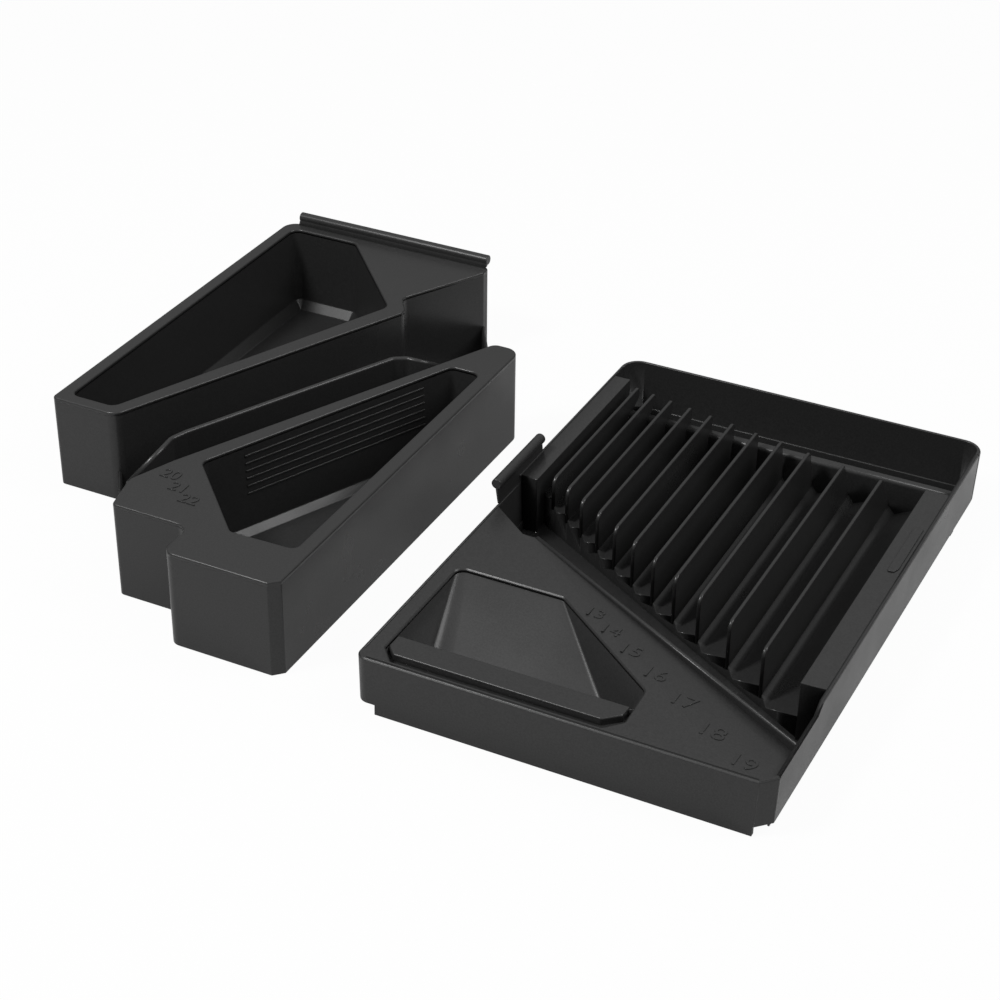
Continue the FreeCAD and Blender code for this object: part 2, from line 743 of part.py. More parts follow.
def left_ledge(hollow, ridge):
    """Flat ledge beside the first slot, open below."""
    y0, y1 = ledge_y(False)
    solid = box(-CUT_MARGIN, LEDGE_LEFT_WIDTH, y0, y1, FLOOR_Z, HIGH_RIM_Z)
    x1 = LEDGE_LEFT_WIDTH - SHEET
    space = box(-CUT_MARGIN, x1, y0 + SHEET, y1 - SHEET, 0.0, HIGH_RIM_Z - WALL)
    return solid.cut(space).common(hollow).cut(ridge)


def right_ledge(hollow):
    """Wide ledge beside the last slot, open below."""
    y0, y1 = ledge_y(True)
    x0, x1 = LEDGE_RIGHT_X, TRAY_WIDTH + CUT_MARGIN
    solid = box(x0, x1, y0, y1, FLOOR_Z, HIGH_RIM_Z)
    space = box(x0 + SHEET, x1, y0 + SHEET, y1 - SHEET, 0.0, HIGH_RIM_Z - WALL)
    return solid.cut(space).common(hollow)


def ledge_strip():
    """Raised strip with one round end on the right ledge."""
    x1 = TRAY_WIDTH - STRIP_INSET
    x0 = x1 - STRIP_WIDTH
    y1 = ledge_y(True)[1] - STRIP_REAR_GAP
    y0 = y1 - STRIP_LENGTH
    round_end = 0.48 * STRIP_WIDTH
    corners = [(x0, y0, 0.4), (x1, y0, 0.4), (x1, y1, round_end), (x0, y1, round_end)]
    return prism(corners, HIGH_RIM_Z, HIGH_RIM_Z + STRIP_RAISE)


def corner_floor(hollow, ridge):
    """Small floor behind the right ledge."""
    x0, x1 = LEDGE_RIGHT_X, TRAY_WIDTH + CUT_MARGIN
    y0 = ledge_y(True)[1]
    y1 = ridge_y()[0]
    plate = box(x0, x1, y0, y1, 0.0, FLOOR_Z)
    riser = box(x0, x0 + SHEET, y0, y1, FLOOR_Z, floor_edge(DIVIDER_COUNT + 1))
    return plate.fuse(riser).common(hollow).cut(ridge)


# Dividers and slot floors, counted from the left


def slot_sides(slot):
    """Left and right x of one slot."""
    left = LEDGE_LEFT_WIDTH + sum(SLOT_WIDTH[: slot - 1]) + (slot - 1) * DIVIDER_THICKNESS
    return left, left + SLOT_WIDTH[slot - 1]


def divider_x(index):
    """Centre of one divider."""
    return slot_sides(index)[1] + DIVIDER_THICKNESS / 2.0


def front_y(x):
    """Front end of the comb at one x."""
    return DIVIDER_FRONT_Y + DIVIDER_FRONT_SLOPE * (x - divider_x(1))


def tip_y(x):
    """Rear tip of a divider at one x."""
    return ridge_y()[0] + DIVIDER_TIP_OVER + DIVIDER_TIP_SLOPE * (x - divider_x(1))


def foot_z(slot):
    """Height of the floor at the left wall of one slot."""
    if slot == 1:
        return FIRST_FOOT_Z
    return max(LOWEST_FOOT_Z, SECOND_FOOT_Z - FOOT_STEP * (slot - 2))


def trough(slot):
    """Bottom point of one slot floor."""
    left, right = slot_sides(slot)
    run = min(TROUGH_STRIP + TROUGH_STRIP_STEP * (slot - 1), 0.5 * (right - left))
    drop = TROUGH_DROP + TROUGH_DROP_STEP * (slot - 1)
    return left + run, foot_z(slot) - drop


def floor_edge(slot):
    """Height of one slot floor at its right wall."""
    left, right = slot_sides(slot)
    x, z = trough(slot)
    return z + (right - x) * TROUGH_RISE


def divider_profile(index):
    """Side view of one divider as y, z points with two rounded corners."""
    x = divider_x(index)
    low = foot_z(index + 1) - SHEET
    top = DIVIDER_TOP_Z
    front = front_y(x)
    tip = tip_y(x)
    r = DIVIDER_FRONT_RADIUS
    start = [(front, low), (front, top - r), (front + 0.29 * r, top - 0.29 * r), (front + r, top)]
    r = DIVIDER_TIP_RADIUS
    crown = [(tip - r, top), (tip - 0.29 * r, top - 0.29 * r), (tip, top - r)]
    y0, y1 = ridge_y()
    if tip <= y0:
        rest = [(y0, foot_z(index + 1)), (y0, low)]
    else:
        over = min(tip, y1)
        z = REAR_RIDGE_Z + 0.4 * (top - REAR_RIDGE_Z)
        rest = [(tip, z), (over, REAR_RIDGE_Z), (y0, REAR_RIDGE_Z), (y0, low)]
    return start + crown + rest


def divider(index, ridge):
    """One thin divider."""
    x = divider_x(index)
    half = DIVIDER_THICKNESS / 2.0
    plate = across(divider_profile(index), x - half, x + half)
    side = DIVIDER_TOP_Z - 0.7
    flat = half - DIVIDER_EDGE
    section = [
        (x - half, 0.0),
        (x + half, 0.0),
        (x + half, side),
        (x + flat, DIVIDER_TOP_Z),
        (x - flat, DIVIDER_TOP_Z),
        (x - half, side),
    ]
    return plate.common(along(section, 0.0, TRAY_DEPTH)).cut(ridge)


def comb_plan(slot):
    """Plan of one slot from the slanting front end to the rear ridge."""
    left, right = slot_sides(slot)
    rear = ridge_y()[0]
    return [(left, front_y(left)), (right, front_y(right)), (right, rear), (left, rear)]


def slot_floor(slot):
    """Bent floor of one slot with the short wall under its front end."""
    left, right = slot_sides(slot)
    x, z = trough(slot)
    edge = floor_edge(slot)
    foot = foot_z(slot)
    section = [
        (left, foot),
        (x, z),
        (right, edge),
        (right, edge - SHEET),
        (x, z - SHEET),
        (left, foot - SHEET),
    ]
    plan = block(comb_plan(slot), 0.0, HIGH_RIM_Z)
    sheet = along(section, 0.0, TRAY_DEPTH).common(plan)
    under = [(left, FLOOR_Z), (left, foot - SHEET), (x, z - SHEET), (right, edge - SHEET)]
    if slot <= DIVIDER_COUNT:
        lower = foot_z(slot + 1) - SHEET
        far = right + DIVIDER_THICKNESS
        under += [(right, lower), (far, lower), (far, FLOOR_Z)]
    else:
        under += [(right, FLOOR_Z)]
    p = (0.0, front_y(0.0))
    q = (TRAY_WIDTH, front_y(TRAY_WIDTH))
    a, b = offset_line(p, q, SHEET)
    apron = along(under, 0.0, TRAY_DEPTH).common(block([p, q, b, a], 0.0, HIGH_RIM_Z))
    return sheet.fuse(apron)


# Front deck, number deck, lip and well


def deck_edge():
    """Plan line where the flat deck ends."""
    return DECK_EDGE_LEFT, (TRAY_WIDTH - DECK_EDGE_RIGHT_GAP, DECK_EDGE_FRONT_Y)


def lip_line():
    """Plan line of the front side of the lip."""
    left = (LIP_LEFT_X, edge_point(LIP_LEFT_X)[1] + LIP_LEFT_GAP)
    return left, (TRAY_WIDTH + LIP_RIGHT_OVER, LIP_RIGHT_Y)


def edge_point(x):
    """Plan point of the deck edge at one x."""
    p, q = deck_edge()
    return x, p[1] + (x - p[0]) * (q[1] - p[1]) / (q[0] - p[0])


def edge_foot():
    """Plan point where the deck edge line passes in front of the tray."""
    p, q = deck_edge()
    return q[0] + (-CUT_MARGIN - q[1]) * (q[0] - p[0]) / (q[1] - p[1]), -CUT_MARGIN


def deck_plan():
    """Plan of the flat deck before the walls trim it."""
    return [(-CUT_MARGIN, -CUT_MARGIN), edge_foot(), edge_point(-CUT_MARGIN)]


def parts_rim():
    """Rim of the small parts pocket."""
    dx, dy = PARTS_CORNER
    x1 = PARTS_RIGHT_X + 1.0
    return [
        (PARTS_LEFT_X, PARTS_FRONT_Y + dy, 1.5),
        (PARTS_LEFT_X + dx, PARTS_FRONT_Y, 1.5),
        (x1 - 7.5, PARTS_FRONT_Y, 1.5),
        (x1, PARTS_FRONT_Y + 8.2, 1.5),
        (PARTS_RIGHT_X, PARTS_SIDE_Y, 6.0),
        (PARTS_REAR_X, PARTS_REAR_Y, 4.0),
        (PARTS_LEFT_X, PARTS_REAR_Y, 5.0),
    ]


def front_deck(hollow):
    """Flat deck with the small parts opening."""
    plate = block(deck_plan(), LOW_RIM_Z - WALL, LOW_RIM_Z).common(hollow)
    plate = plate.cut(prism(parts_rim(), 0.0, HIGH_RIM_Z))
    return plate.cut(rim_cutter(parts_rim(), LOW_RIM_Z))


def number_deck_plan():
    """Plan of the sloping deck that carries the sizes."""
    a, b = lip_line()
    corner = (TRAY_WIDTH + CUT_MARGIN, -CUT_MARGIN)
    return [edge_point(NUMBER_DECK_X), edge_foot(), corner, b, a]


def deck_side_wall(hollow):
    """Upright wall under the left end of the deck edge, bent round to the lip."""
    p, q = deck_edge()
    a, b = offset_line(p, q, -SHEET)
    band = block([p, q, b, a], FLOOR_Z, LOW_RIM_Z - WALL)
    band = band.common(box(-CUT_MARGIN, NUMBER_DECK_X, 0.0, TRAY_DEPTH, 0.0, HIGH_RIM_Z))
    plan = number_deck_plan()
    a, b = offset_line(plan[0], plan[-1], SHEET)
    corner = edge_point(NUMBER_DECK_X - 1.3 * SHEET)
    end = block([plan[0], plan[-1], b, corner], FLOOR_Z, LOW_RIM_Z - SIDE_WALL_LOWER)
    return band.common(hollow).fuse(end)


def number_deck(hollow):
    """Sheet that slopes down from the deck edge to the lip."""
    p, q = deck_edge()
    ux, uy = unit(p[0], p[1], q[0], q[1])
    length = 1.5 * TRAY_WIDTH
    slab = Part.makeBox(length, TRAY_WIDTH, WALL, vec(0.0, 0.0, -WALL))
    slab.rotate(vec(0, 0, 0), vec(1, 0, 0), -math.degrees(math.atan(NUMBER_DECK_SLOPE)))
    slab.rotate(vec(0, 0, 0), vec(0, 0, 1), math.degrees(math.atan2(uy, ux)))
    slab.translate(vec(p[0], p[1], LOW_RIM_Z))
    return slab.common(block(number_deck_plan(), 0.0, LOW_RIM_Z)).common(hollow)


def deck_lip(hollow):
    """Narrow upright lip between the sloping deck and the well."""
    p, q = lip_line()
    a, b = offset_line(p, q, LIP_THICKNESS)
    wall = block([p, q, b, a], FLOOR_Z, LOW_RIM_Z - LIP_EDGE)
    c, d = offset_line(p, q, 0.5)
    e, f = offset_line(p, q, LIP_THICKNESS - 0.5)
    crown = block([c, d, f, e], LOW_RIM_Z - LIP_EDGE, LOW_RIM_Z)
    return wall.fuse(crown).common(hollow)


def well_floor(hollow):
    """Floor of the deep well in front of the slots."""
    a, b = lip_line()
    left, right = LEDGE_LEFT_WIDTH, LEDGE_RIGHT_X
    left_y, right_y = ledge_y(False)[0], ledge_y(True)[0]
    plan = [
        edge_point(-CUT_MARGIN),
        number_deck_plan()[0],
        a,
        b,
        (TRAY_WIDTH + CUT_MARGIN, right_y),
        (right, right_y),
        (right, front_y(right) + SHEET),
        (left, front_y(left) + SHEET),
        (left, left_y),
        (-CUT_MARGIN, left_y),
    ]
    return block(plan, 0.0, FLOOR_Z).common(hollow)


# Small parts pocket


def scoop(grow, floor_z, top_z):
    """Tapered hollow with a long sloping back."""
    g = grow
    front = SCOOP_FRONT_Y - g
    rim = [
        (PARTS_LEFT_X - g, front),
        (PARTS_RIGHT_X + g, front),
        (PARTS_RIGHT_X + g, PARTS_SIDE_Y + 0.5 * g),
        (PARTS_REAR_X + 0.6 * g, PARTS_REAR_Y + g),
        (PARTS_LEFT_X - g, PARTS_REAR_Y + g),
    ]
    x0, x1 = SCOOP_BASE_X
    y0, y1 = SCOOP_BASE_Y
    base = [
        (x0 - g, front),
        (x1 + g, front),
        (x1 + g, y0 + 0.5 * g),
        (SCOOP_CORNER_X + 0.6 * g, y1 + g),
        (x0 - g, y1 + g),
    ]
    low = Part.makePolygon([vec(x, y, floor_z) for x, y in base + base[:1]])
    high = Part.makePolygon([vec(x, y, top_z) for x, y in rim + rim[:1]])
    return outward(Part.makeLoft([low, high], True, True))


def shelf_plan():
    """Plan of the shelf along the front of the parts pocket."""
    x0 = PARTS_LEFT_X
    x1 = PARTS_RIGHT_X - SHELF_RIGHT_GAP
    y0 = PARTS_FRONT_Y + GROOVE_WIDTH
    y1 = SCOOP_FRONT_Y - SHEET
    dx, dy = SHELF_CORNER
    ex, ey = SHELF_RIGHT_CORNER
    return [(x0, y1), (x0, y0 + dy), (x0 + dx, y0), (x1 - ex, y0), (x1, y0 + ey), (x1 + 0.4, y1)]


def parts_pocket():
    """Moulded walls and floor of the scoop."""
    outer = scoop(SHEET, SCOOP_FLOOR_Z - SHEET, LOW_RIM_Z - WALL)
    space = scoop(0.0, SCOOP_FLOOR_Z, LOW_RIM_Z)
    x0, x1 = PARTS_LEFT_X, PARTS_RIGHT_X
    y0 = SCOOP_FRONT_Y - SHEET
    bar = box(x0, x1, y0, SCOOP_FRONT_Y, LOW_RIM_Z - WALL, LOW_RIM_Z - SHELF_DROP)
    return outer.cut(space).fuse(bar)


def pocket_shelf():
    """Shelf near the rim level, open below."""
    plan = shelf_plan()
    top = LOW_RIM_Z - SHELF_DROP
    body = block(plan, LOW_RIM_Z - GROOVE_DROP - SHEET, top)
    corners = inset(sharp(plan), SHEET)
    return body.cut(prism(corners, 0.0, top - SHEET))


def pocket_groove(pocket):
    """Narrow groove round the front of the shelf."""
    rim = parts_rim()
    low = LOW_RIM_Z - GROOVE_DROP
    outer = prism(inset(rim, -1.5), low - SHEET, LOW_RIM_Z - WALL)
    outer = outer.cut(prism(rim, low, HIGH_RIM_Z))
    outer = outer.common(zone(0.0, SCOOP_FRONT_Y - SHEET, 0.0, HIGH_RIM_Z))
    return outer.cut(block(shelf_plan(), 0.0, HIGH_RIM_Z)).cut(pocket)


def hook_lip(wall, ledge):
    """Leaning lip with a round bead on the left wall."""
    y0, y1 = HOOK_FRONT_Y, HOOK_FRONT_Y + HOOK_LENGTH
    r = HOOK_BEAD_RADIUS
    z0 = LOW_RIM_Z
    x, z = -HOOK_OUT, LOW_RIM_Z + HOOK_UP
    section = [
        (WALL - 1.5, z0),
        (WALL + 0.1, z0),
        (WALL - 0.8, z0 + 7.0),
        (x + 0.65 * r, z + 0.25 * r),
        (x - 0.58 * r, z - 0.5 * r),
        (0.0, z0 + 6.0),
    ]
    bead = Part.makeCylinder(r, y1 - y0, vec(x, y0, z), vec(0, 1, 0))
    return along(section, y0, y1).fuse(bead).cut(wall).cut(ledge)


def make_top_tray():
    """Every piece of the top tray."""
    hollow = inner_shape(WALL)
    front = front_wall(hollow)
    ridge = rear_ridge(hollow)
    ledge = left_ledge(hollow, ridge)
    lip = deck_lip(hollow)
    left = left_wall(hollow, ledge)
    right = right_wall(hollow, lip)
    pocket = parts_pocket()
    nodes = {
        "front_wall": front,
        "left_wall": left,
        "right_wall": right,
        "rear_wall": rear_wall(hollow),
        "rear_ridge": ridge,
        "rear_floor": rear_floor(hollow),
        "left_ledge": ledge,
        "right_ledge": right_ledge(hollow),
        "ledge_strip": ledge_strip(),
        "corner_floor": corner_floor(hollow, ridge),
        "front_deck": front_deck(hollow),
        "deck_side_wall": deck_side_wall(hollow),
        "number_deck": number_deck(hollow),
        "deck_lip": lip,
        "well_floor": well_floor(hollow),
        "parts_pocket": pocket,
        "pocket_shelf": pocket_shelf(),
        "pocket_groove": pocket_groove(pocket),
        "hook_lip": hook_lip(left, ledge),
    }
    for index in range(1, DIVIDER_COUNT + 1):
        nodes["divider_%02d" % index] = divider(index, ridge)
    for slot in range(1, DIVIDER_COUNT + 2):
        nodes["slot_floor_%02d" % slot] = slot_floor(slot)
    return nodes


def write(nodes, at):
    """Place the pieces and write one file for each."""
    for name, shape in nodes.items():
        placed = shape.removeSplitter()
        placed.translate(at)
        placed.exportStep("parts/" + name + ".step")
        b = placed.BoundBox
        solids = len(placed.Solids)
        ok = placed.isValid()
        print("%s solids %d valid %s z %.2f %.2f" % (name, solids, ok, b.ZMin, b.ZMax))


os.makedirs("parts", exist_ok=True)
write(make_bottom_tray(), BOTTOM_TRAY_AT)
write(make_top_tray(), TOP_TRAY_AT)
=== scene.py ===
"""Wrench tray insert: two moulded trays side by side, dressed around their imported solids.

Sizes in the classes below are millimetres; Blender's own lengths are metres.
"""

import json
import logging
import math
from dataclasses import dataclass, field
from enum import Enum
from typing import Any, ClassVar

import bmesh
import bpy
from mathutils import Matrix, Vector
from mathutils.bvhtree import BVHTree


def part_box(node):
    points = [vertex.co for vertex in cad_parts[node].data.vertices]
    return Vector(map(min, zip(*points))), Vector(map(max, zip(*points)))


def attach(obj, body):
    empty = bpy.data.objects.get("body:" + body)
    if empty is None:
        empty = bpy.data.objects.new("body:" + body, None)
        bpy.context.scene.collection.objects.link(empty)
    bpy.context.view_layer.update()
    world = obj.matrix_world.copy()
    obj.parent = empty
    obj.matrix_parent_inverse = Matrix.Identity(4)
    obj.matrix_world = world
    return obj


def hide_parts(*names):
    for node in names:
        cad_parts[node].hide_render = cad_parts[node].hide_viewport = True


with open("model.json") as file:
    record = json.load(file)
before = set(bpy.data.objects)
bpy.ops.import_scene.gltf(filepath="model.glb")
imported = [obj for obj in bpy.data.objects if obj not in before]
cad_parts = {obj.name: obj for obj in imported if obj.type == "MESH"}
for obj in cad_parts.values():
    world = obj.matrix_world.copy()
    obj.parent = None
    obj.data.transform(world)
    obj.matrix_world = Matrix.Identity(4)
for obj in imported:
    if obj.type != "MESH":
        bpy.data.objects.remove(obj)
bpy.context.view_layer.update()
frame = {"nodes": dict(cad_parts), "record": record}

MM = 0.001

log = logging.getLogger("trays")


class Tray(Enum):
    """The two mouldings, by body name."""

    BOTTOM = "bottom_tray"
    TOP = "top_tray"

    @property
    def origin(self) -> Vector:
        """Place of the tray's own plan corner in the shared frame, in mm."""
        return Vector((-228.75, -71.35, 0.0) if self is Tray.BOTTOM else (16.75, -178.35, 0.0))

    @property
    def slot(self) -> str:
        """Material slot of the tray in the record."""
        return self.value + "_plastic"


def linear(colour: str) -> tuple[float, float, float, float]:
    """Turns an sRGB hex colour into the linear values a shader takes.

    Args:
        colour: six hex digits, such as "1b1b1b".

    Returns:
        Red, green, blue and an alpha of 1.
    """
    values = []
    for i in (0, 2, 4):
        c = int(colour[i : i + 2], 16) / 255.0
        values.append(c / 12.92 if c <= 0.04045 else ((c + 0.055) / 1.055) ** 2.4)
    return values[0], values[1], values[2], 1.0


def add_node(
    tree: bpy.types.NodeTree,
    kind: str,
    settings: dict[str, Any] | None = None,
    inputs: dict[str, Any] | None = None,
) -> bpy.types.Node:
    """Adds one node to a tree.

    Args:
        tree: the node tree.
        kind: the node's Blender type name.
        settings: properties of the node by name.
        inputs: input sockets by name; a socket is linked, anything else is set.

    Returns:
        The new node.
    """
    node = tree.nodes.new(kind)
    for name, value in (settings or {}).items():
        setattr(node, name, value)
    for name, value in (inputs or {}).items():
        if isinstance(value, bpy.types.NodeSocket):
            tree.links.new(value, node.inputs[name])
        else:
            node.inputs[name].default_value = value
    return node


@dataclass(frozen=True)
class MouldedAbs:
    """Black ABS out of an injection mould, with the texture its tool was given.

    The colour is a mass-dyed black, so it has no coat and no clear depth. The spark-eroded
    tool leaves fine round pits that spread each reflection into a soft sheen; a polished
    part of the tool gives a clearer one.
    """

    name: str
    colour: str
    worn: str
    roughness: float
    grain_mm: float
    grain_depth_mm: float
    grain_strength: float
    patch_mm: float = 60.0
    patch_swing: float = 0.05
    specular: float = 0.30

    def material(self) -> bpy.types.Material:
        """Builds the material.

        Returns:
            The material, with all its patterns in object coordinates.
        """
        mat = bpy.data.materials.new(self.name)
        mat.use_nodes = True
        tree = mat.node_tree
        tree.nodes.clear()
        place = add_node(tree, "ShaderNodeTexCoord").outputs["Object"]
        # Slow change of sheen where the melt flowed and cooled unevenly
        patch = add_node(
            tree,
            "ShaderNodeTexNoise",
            inputs={"Vector": place, "Scale": 1000.0 / self.patch_mm, "Detail": 3.0, "Roughness": 0.6},
        )
        # Pits of the eroded tool: real ones are under 0.1 mm, and these are as coarse as they need to show
        grain = add_node(
            tree,
            "ShaderNodeTexNoise",
            inputs={"Vector": place, "Scale": 1000.0 / self.grain_mm, "Detail": 2.0, "Roughness": 0.55},
        )
        sheen = add_node(
            tree,
            "ShaderNodeMapRange",
            inputs={
                "Value": patch.outputs["Fac"],
                "From Min": 0.3,
                "From Max": 0.7,
                "To Min": self.roughness - self.patch_swing,
                "To Max": self.roughness + self.patch_swing,
            },
        )
        mottle = add_node(
            tree,
            "ShaderNodeMapRange",
            inputs={"Value": grain.outputs["Fac"], "From Min": 0.35, "From Max": 0.65},
        )
        tone = add_node(
            tree,
            "ShaderNodeMix",
            settings={"data_type": "RGBA"},
            inputs={"Factor": mottle.outputs["Result"]},
        )
        colours = [s for s in tone.inputs if s.type == "RGBA"]
        colours[0].default_value = linear(self.colour)
        colours[1].default_value = linear(self.worn)
        bump = add_node(
            tree,
            "ShaderNodeBump",
            inputs={
                "Strength": self.grain_strength,
                "Distance": self.grain_depth_mm * MM,
                "Height": grain.outputs["Fac"],
            },
        )
        result = next(s for s in tone.outputs if s.type == "RGBA")
        shader = add_node(
            tree,
            "ShaderNodeBsdfPrincipled",
            inputs={
                "Base Color": result,
                "Roughness": sheen.outputs["Result"],
                "IOR": 1.53,
                "Specular IOR Level": self.specular,
                "Normal": bump.outputs["Normal"],
            },
        )
        add_node(tree, "ShaderNodeOutputMaterial", inputs={"Surface": shader.outputs["BSDF"]})
        return mat


class Finish(Enum):
    """The surface finishes of the two trays; the pocket and comb finishes are a little darker in colour than
    the decks, as painted shade.
    """

    TEXTURED = MouldedAbs(
        "eroded_black_abs",
        colour="262626",
        worn="2d2d2d",
        roughness=0.31,
        grain_mm=0.9,
        grain_depth_mm=0.05,
        grain_strength=0.50,
    )
    # Pocket finish: finer, weaker grain than the decks, and a colour a little darker than theirs that is
    # painted shade for the deep pockets
    SMOOTH = MouldedAbs(
        "satin_black_abs_painted_shade",
        colour="242424",
        worn="292929",
        roughness=0.32,
        grain_mm=1.4,
        grain_depth_mm=0.03,
        grain_strength=0.30,
    )
    # Comb finish for the dividers and the floors: a colour a little darker than the decks' that is painted
    # shade for the slots and wells between them
    COMB = MouldedAbs(
        "comb_black_abs_painted_shade",
        colour="242424",
        worn="2a2a2a",
        roughness=0.30,
        grain_mm=1.2,
        grain_depth_mm=0.03,
        grain_strength=0.30,
    )


Point = tuple[float, float]
Corner = tuple[float, float, float]
Ring = list[bmesh.types.BMVert]


def unit(x0: float, y0: float, x1: float, y1: float) -> Point:
    """Unit direction from one plan point to another."""
    length = math.hypot(x1 - x0, y1 - y0)
    return (x1 - x0) / length, (y1 - y0) / length


def rounded_corner(before: Corner, corner: Corner, after: Corner, pieces: int, reach: float) -> list[Point]:
    """Points of the arc that rounds one corner of a line.

    Args:
        before: the corner before it.
        corner: its two coordinates and its radius in mm.
        after: the corner after it.
        pieces: straight pieces of the arc.
        reach: share of the shorter side that the arc may take up.

    Returns:
        The points, pieces + 1 of them.
    """
    x, y, r = corner
    ax, ay = unit(x, y, before[0], before[1])
    bx, by = unit(x, y, after[0], after[1])
    half = math.acos(max(-1.0, min(1.0, ax * bx + ay * by))) / 2.0
    near = min(math.hypot(before[0] - x, before[1] - y), math.hypot(after[0] - x, after[1] - y))
    back = min(r / math.tan(half), reach * near)
    radius = back * math.tan(half)
    mx, my = unit(0.0, 0.0, ax + bx, ay + by)
    cx = x + mx * radius / math.sin(half)
    cy = y + my * radius / math.sin(half)
    first = math.atan2(y + ay * back - cy, x + ax * back - cx)
    last = math.atan2(y + by * back - cy, x + bx * back - cx)
    turn = (last - first + math.pi) % (2.0 * math.pi) - math.pi
    angles = [first + turn * k / pieces for k in range(pieces + 1)]
    return [(cx + radius * math.cos(angle), cy + radius * math.sin(angle)) for angle in angles]


@dataclass(frozen=True)
class Outline:
    """Closed anticlockwise plan line, with a rounded corner (x, y, radius) at each point, in mm."""

    corners: tuple[Corner, ...]

    REACH: ClassVar[float] = 0.48
    LEAST_RADIUS: ClassVar[float] = 0.2

    def moved(self, distance: float) -> "Outline":
        """The same line moved inwards by a distance, outwards when it is negative.

        Args:
            distance: how far, in mm.

        Returns:
            The new line, with as many corners.
        """
        found = []
        for i, (x, y, r) in enumerate(self.corners):
            xa, ya, _ = self.corners[i - 1]
            xb, yb, _ = self.corners[(i + 1) % len(self.corners)]
            ax, ay = unit(xa, ya, x, y)
            bx, by = unit(x, y, xb, yb)
            share = distance / (1.0 + ax * bx + ay * by)
            radius = r - distance if ax * by - ay * bx > 0 else r + distance
            found.append((x - (ay + by) * share, y + (ax + bx) * share, max(radius, self.LEAST_RADIUS)))
        return Outline(tuple(found))

    def points(self, steps: int) -> list[Point]:
        """Plan points along the line.

        Args:
            steps: pieces of each corner's arc.

        Returns:
            The points, steps + 1 of them at each corner.
        """
        found = []
        for i, corner in enumerate(self.corners):
            after = self.corners[(i + 1) % len(self.corners)]
            found += rounded_corner(self.corners[i - 1], corner, after, steps, self.REACH)
        return found


def softened(profile: list[Corner], pieces: int = 4, reach: float = 0.45) -> list[Point]:
    """Open line with each of its inner corners rounded.

    Args:
        profile: corners as (inset, height, radius) in mm.
        pieces: pieces of each rounding.
        reach: share of the shorter side that a rounding may take up.

    Returns:
        The line as (inset, height) points.
    """
    line = [profile[0][:2]]
    for before, corner, after in zip(profile, profile[1:], profile[2:]):
        if corner[2] > 0.0:
            line += rounded_corner(before, corner, after, pieces, reach)
        else:
            line.append(corner[:2])
    line.append(profile[-1][:2])
    return line


@dataclass
class Moulder:
    """Builds one clean wall of rings in the shared frame."""

    tray: Tray
    arc_steps: int = 8
    bm: bmesh.types.BMesh = field(default_factory=bmesh.new)

    def vert(self, x: float, y: float, z: float) -> bmesh.types.BMVert:
        """New vertex at a place in the tray's own plan, in mm."""
        return self.bm.verts.new((self.tray.origin + Vector((x, y, z))) * MM)

    def ring(self, outline: Outline, z: float) -> Ring:
        """Vertices along an outline at one height."""
        return [self.vert(x, y, z) for x, y in outline.points(self.arc_steps)]

    def rings(self, outline: Outline, section: list[Point]) -> list[Ring]:
        """One ring for each point of a section, given as (inset, height)."""
        return [self.ring(outline.moved(inset), z) for inset, z in section]

    def skin(self, rings: list[Ring]) -> None:
        """Faces between closed rings that follow one another.

        Args:
            rings: rings of equal length.
        """
        for low, high in zip(rings, rings[1:]):
            for i in range(len(low)):
                j = (i + 1) % len(low)
                self.bm.faces.new((low[i], low[j], high[j], high[i]))

    def between(self, outer: Ring, inner: Ring) -> None:
        """Flat faces between an outer ring and a hole in it.

        Args:
            outer: the ring outside.
            inner: the ring of the hole.
        """
        edges = []
        for ring in (outer, inner):
            for a, b in zip(ring, ring[1:] + ring[:1]):
                edges.append(self.bm.edges.get((a, b)) or self.bm.edges.new((a, b)))
        bmesh.ops.triangle_fill(self.bm, use_beauty=True, use_dissolve=False, edges=edges)

    def finished(self) -> bmesh.types.BMesh:
        """Turns the faces outwards.

        Returns:
            The finished mesh.
        """
        bmesh.ops.recalc_face_normals(self.bm, faces=self.bm.faces[:])
        if self.bm.calc_volume(signed=True) < 0.0:
            bmesh.ops.reverse_faces(self.bm, faces=self.bm.faces[:])
        return self.bm


def solid_piece(name: str, bm: bmesh.types.BMesh, material: bpy.types.Material) -> bpy.types.Object:
    """Turns a finished bmesh into a smooth shaded object at the origin.

    Args:
        name: name of the piece.
        bm: its mesh, in metres in the shared frame; it is freed.
        material: its material.

    Returns:
        The new object.
    """
    mesh = bpy.data.meshes.new(name)
    bm.to_mesh(mesh)
    bm.free()
    mesh.materials.append(material)
    mesh.shade_smooth()
    piece = bpy.data.objects.new(name, mesh)
    bpy.context.scene.collection.objects.link(piece)
    weigh = piece.modifiers.new("flat_faces_first", "WEIGHTED_NORMAL")
    weigh.mode = "FACE_AREA"
    weigh.weight = 90
    weigh.keep_sharp = True
    return piece


def stand_in(node: str, tray: Tray, bm: bmesh.types.BMesh, material: bpy.types.Material) -> bpy.types.Object:
    """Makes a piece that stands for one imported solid.

    Args:
        node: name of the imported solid.
        tray: the tray that it belongs to.
        bm: mesh of the piece; it is freed.
        material: its material.

    Returns:
        The new object.
    """
    piece = solid_piece(node + "_skin", bm, material)
    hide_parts(node)
    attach(piece, tray.value)
    log.info("%s: %d faces", piece.name, len(piece.data.polygons))
    return piece


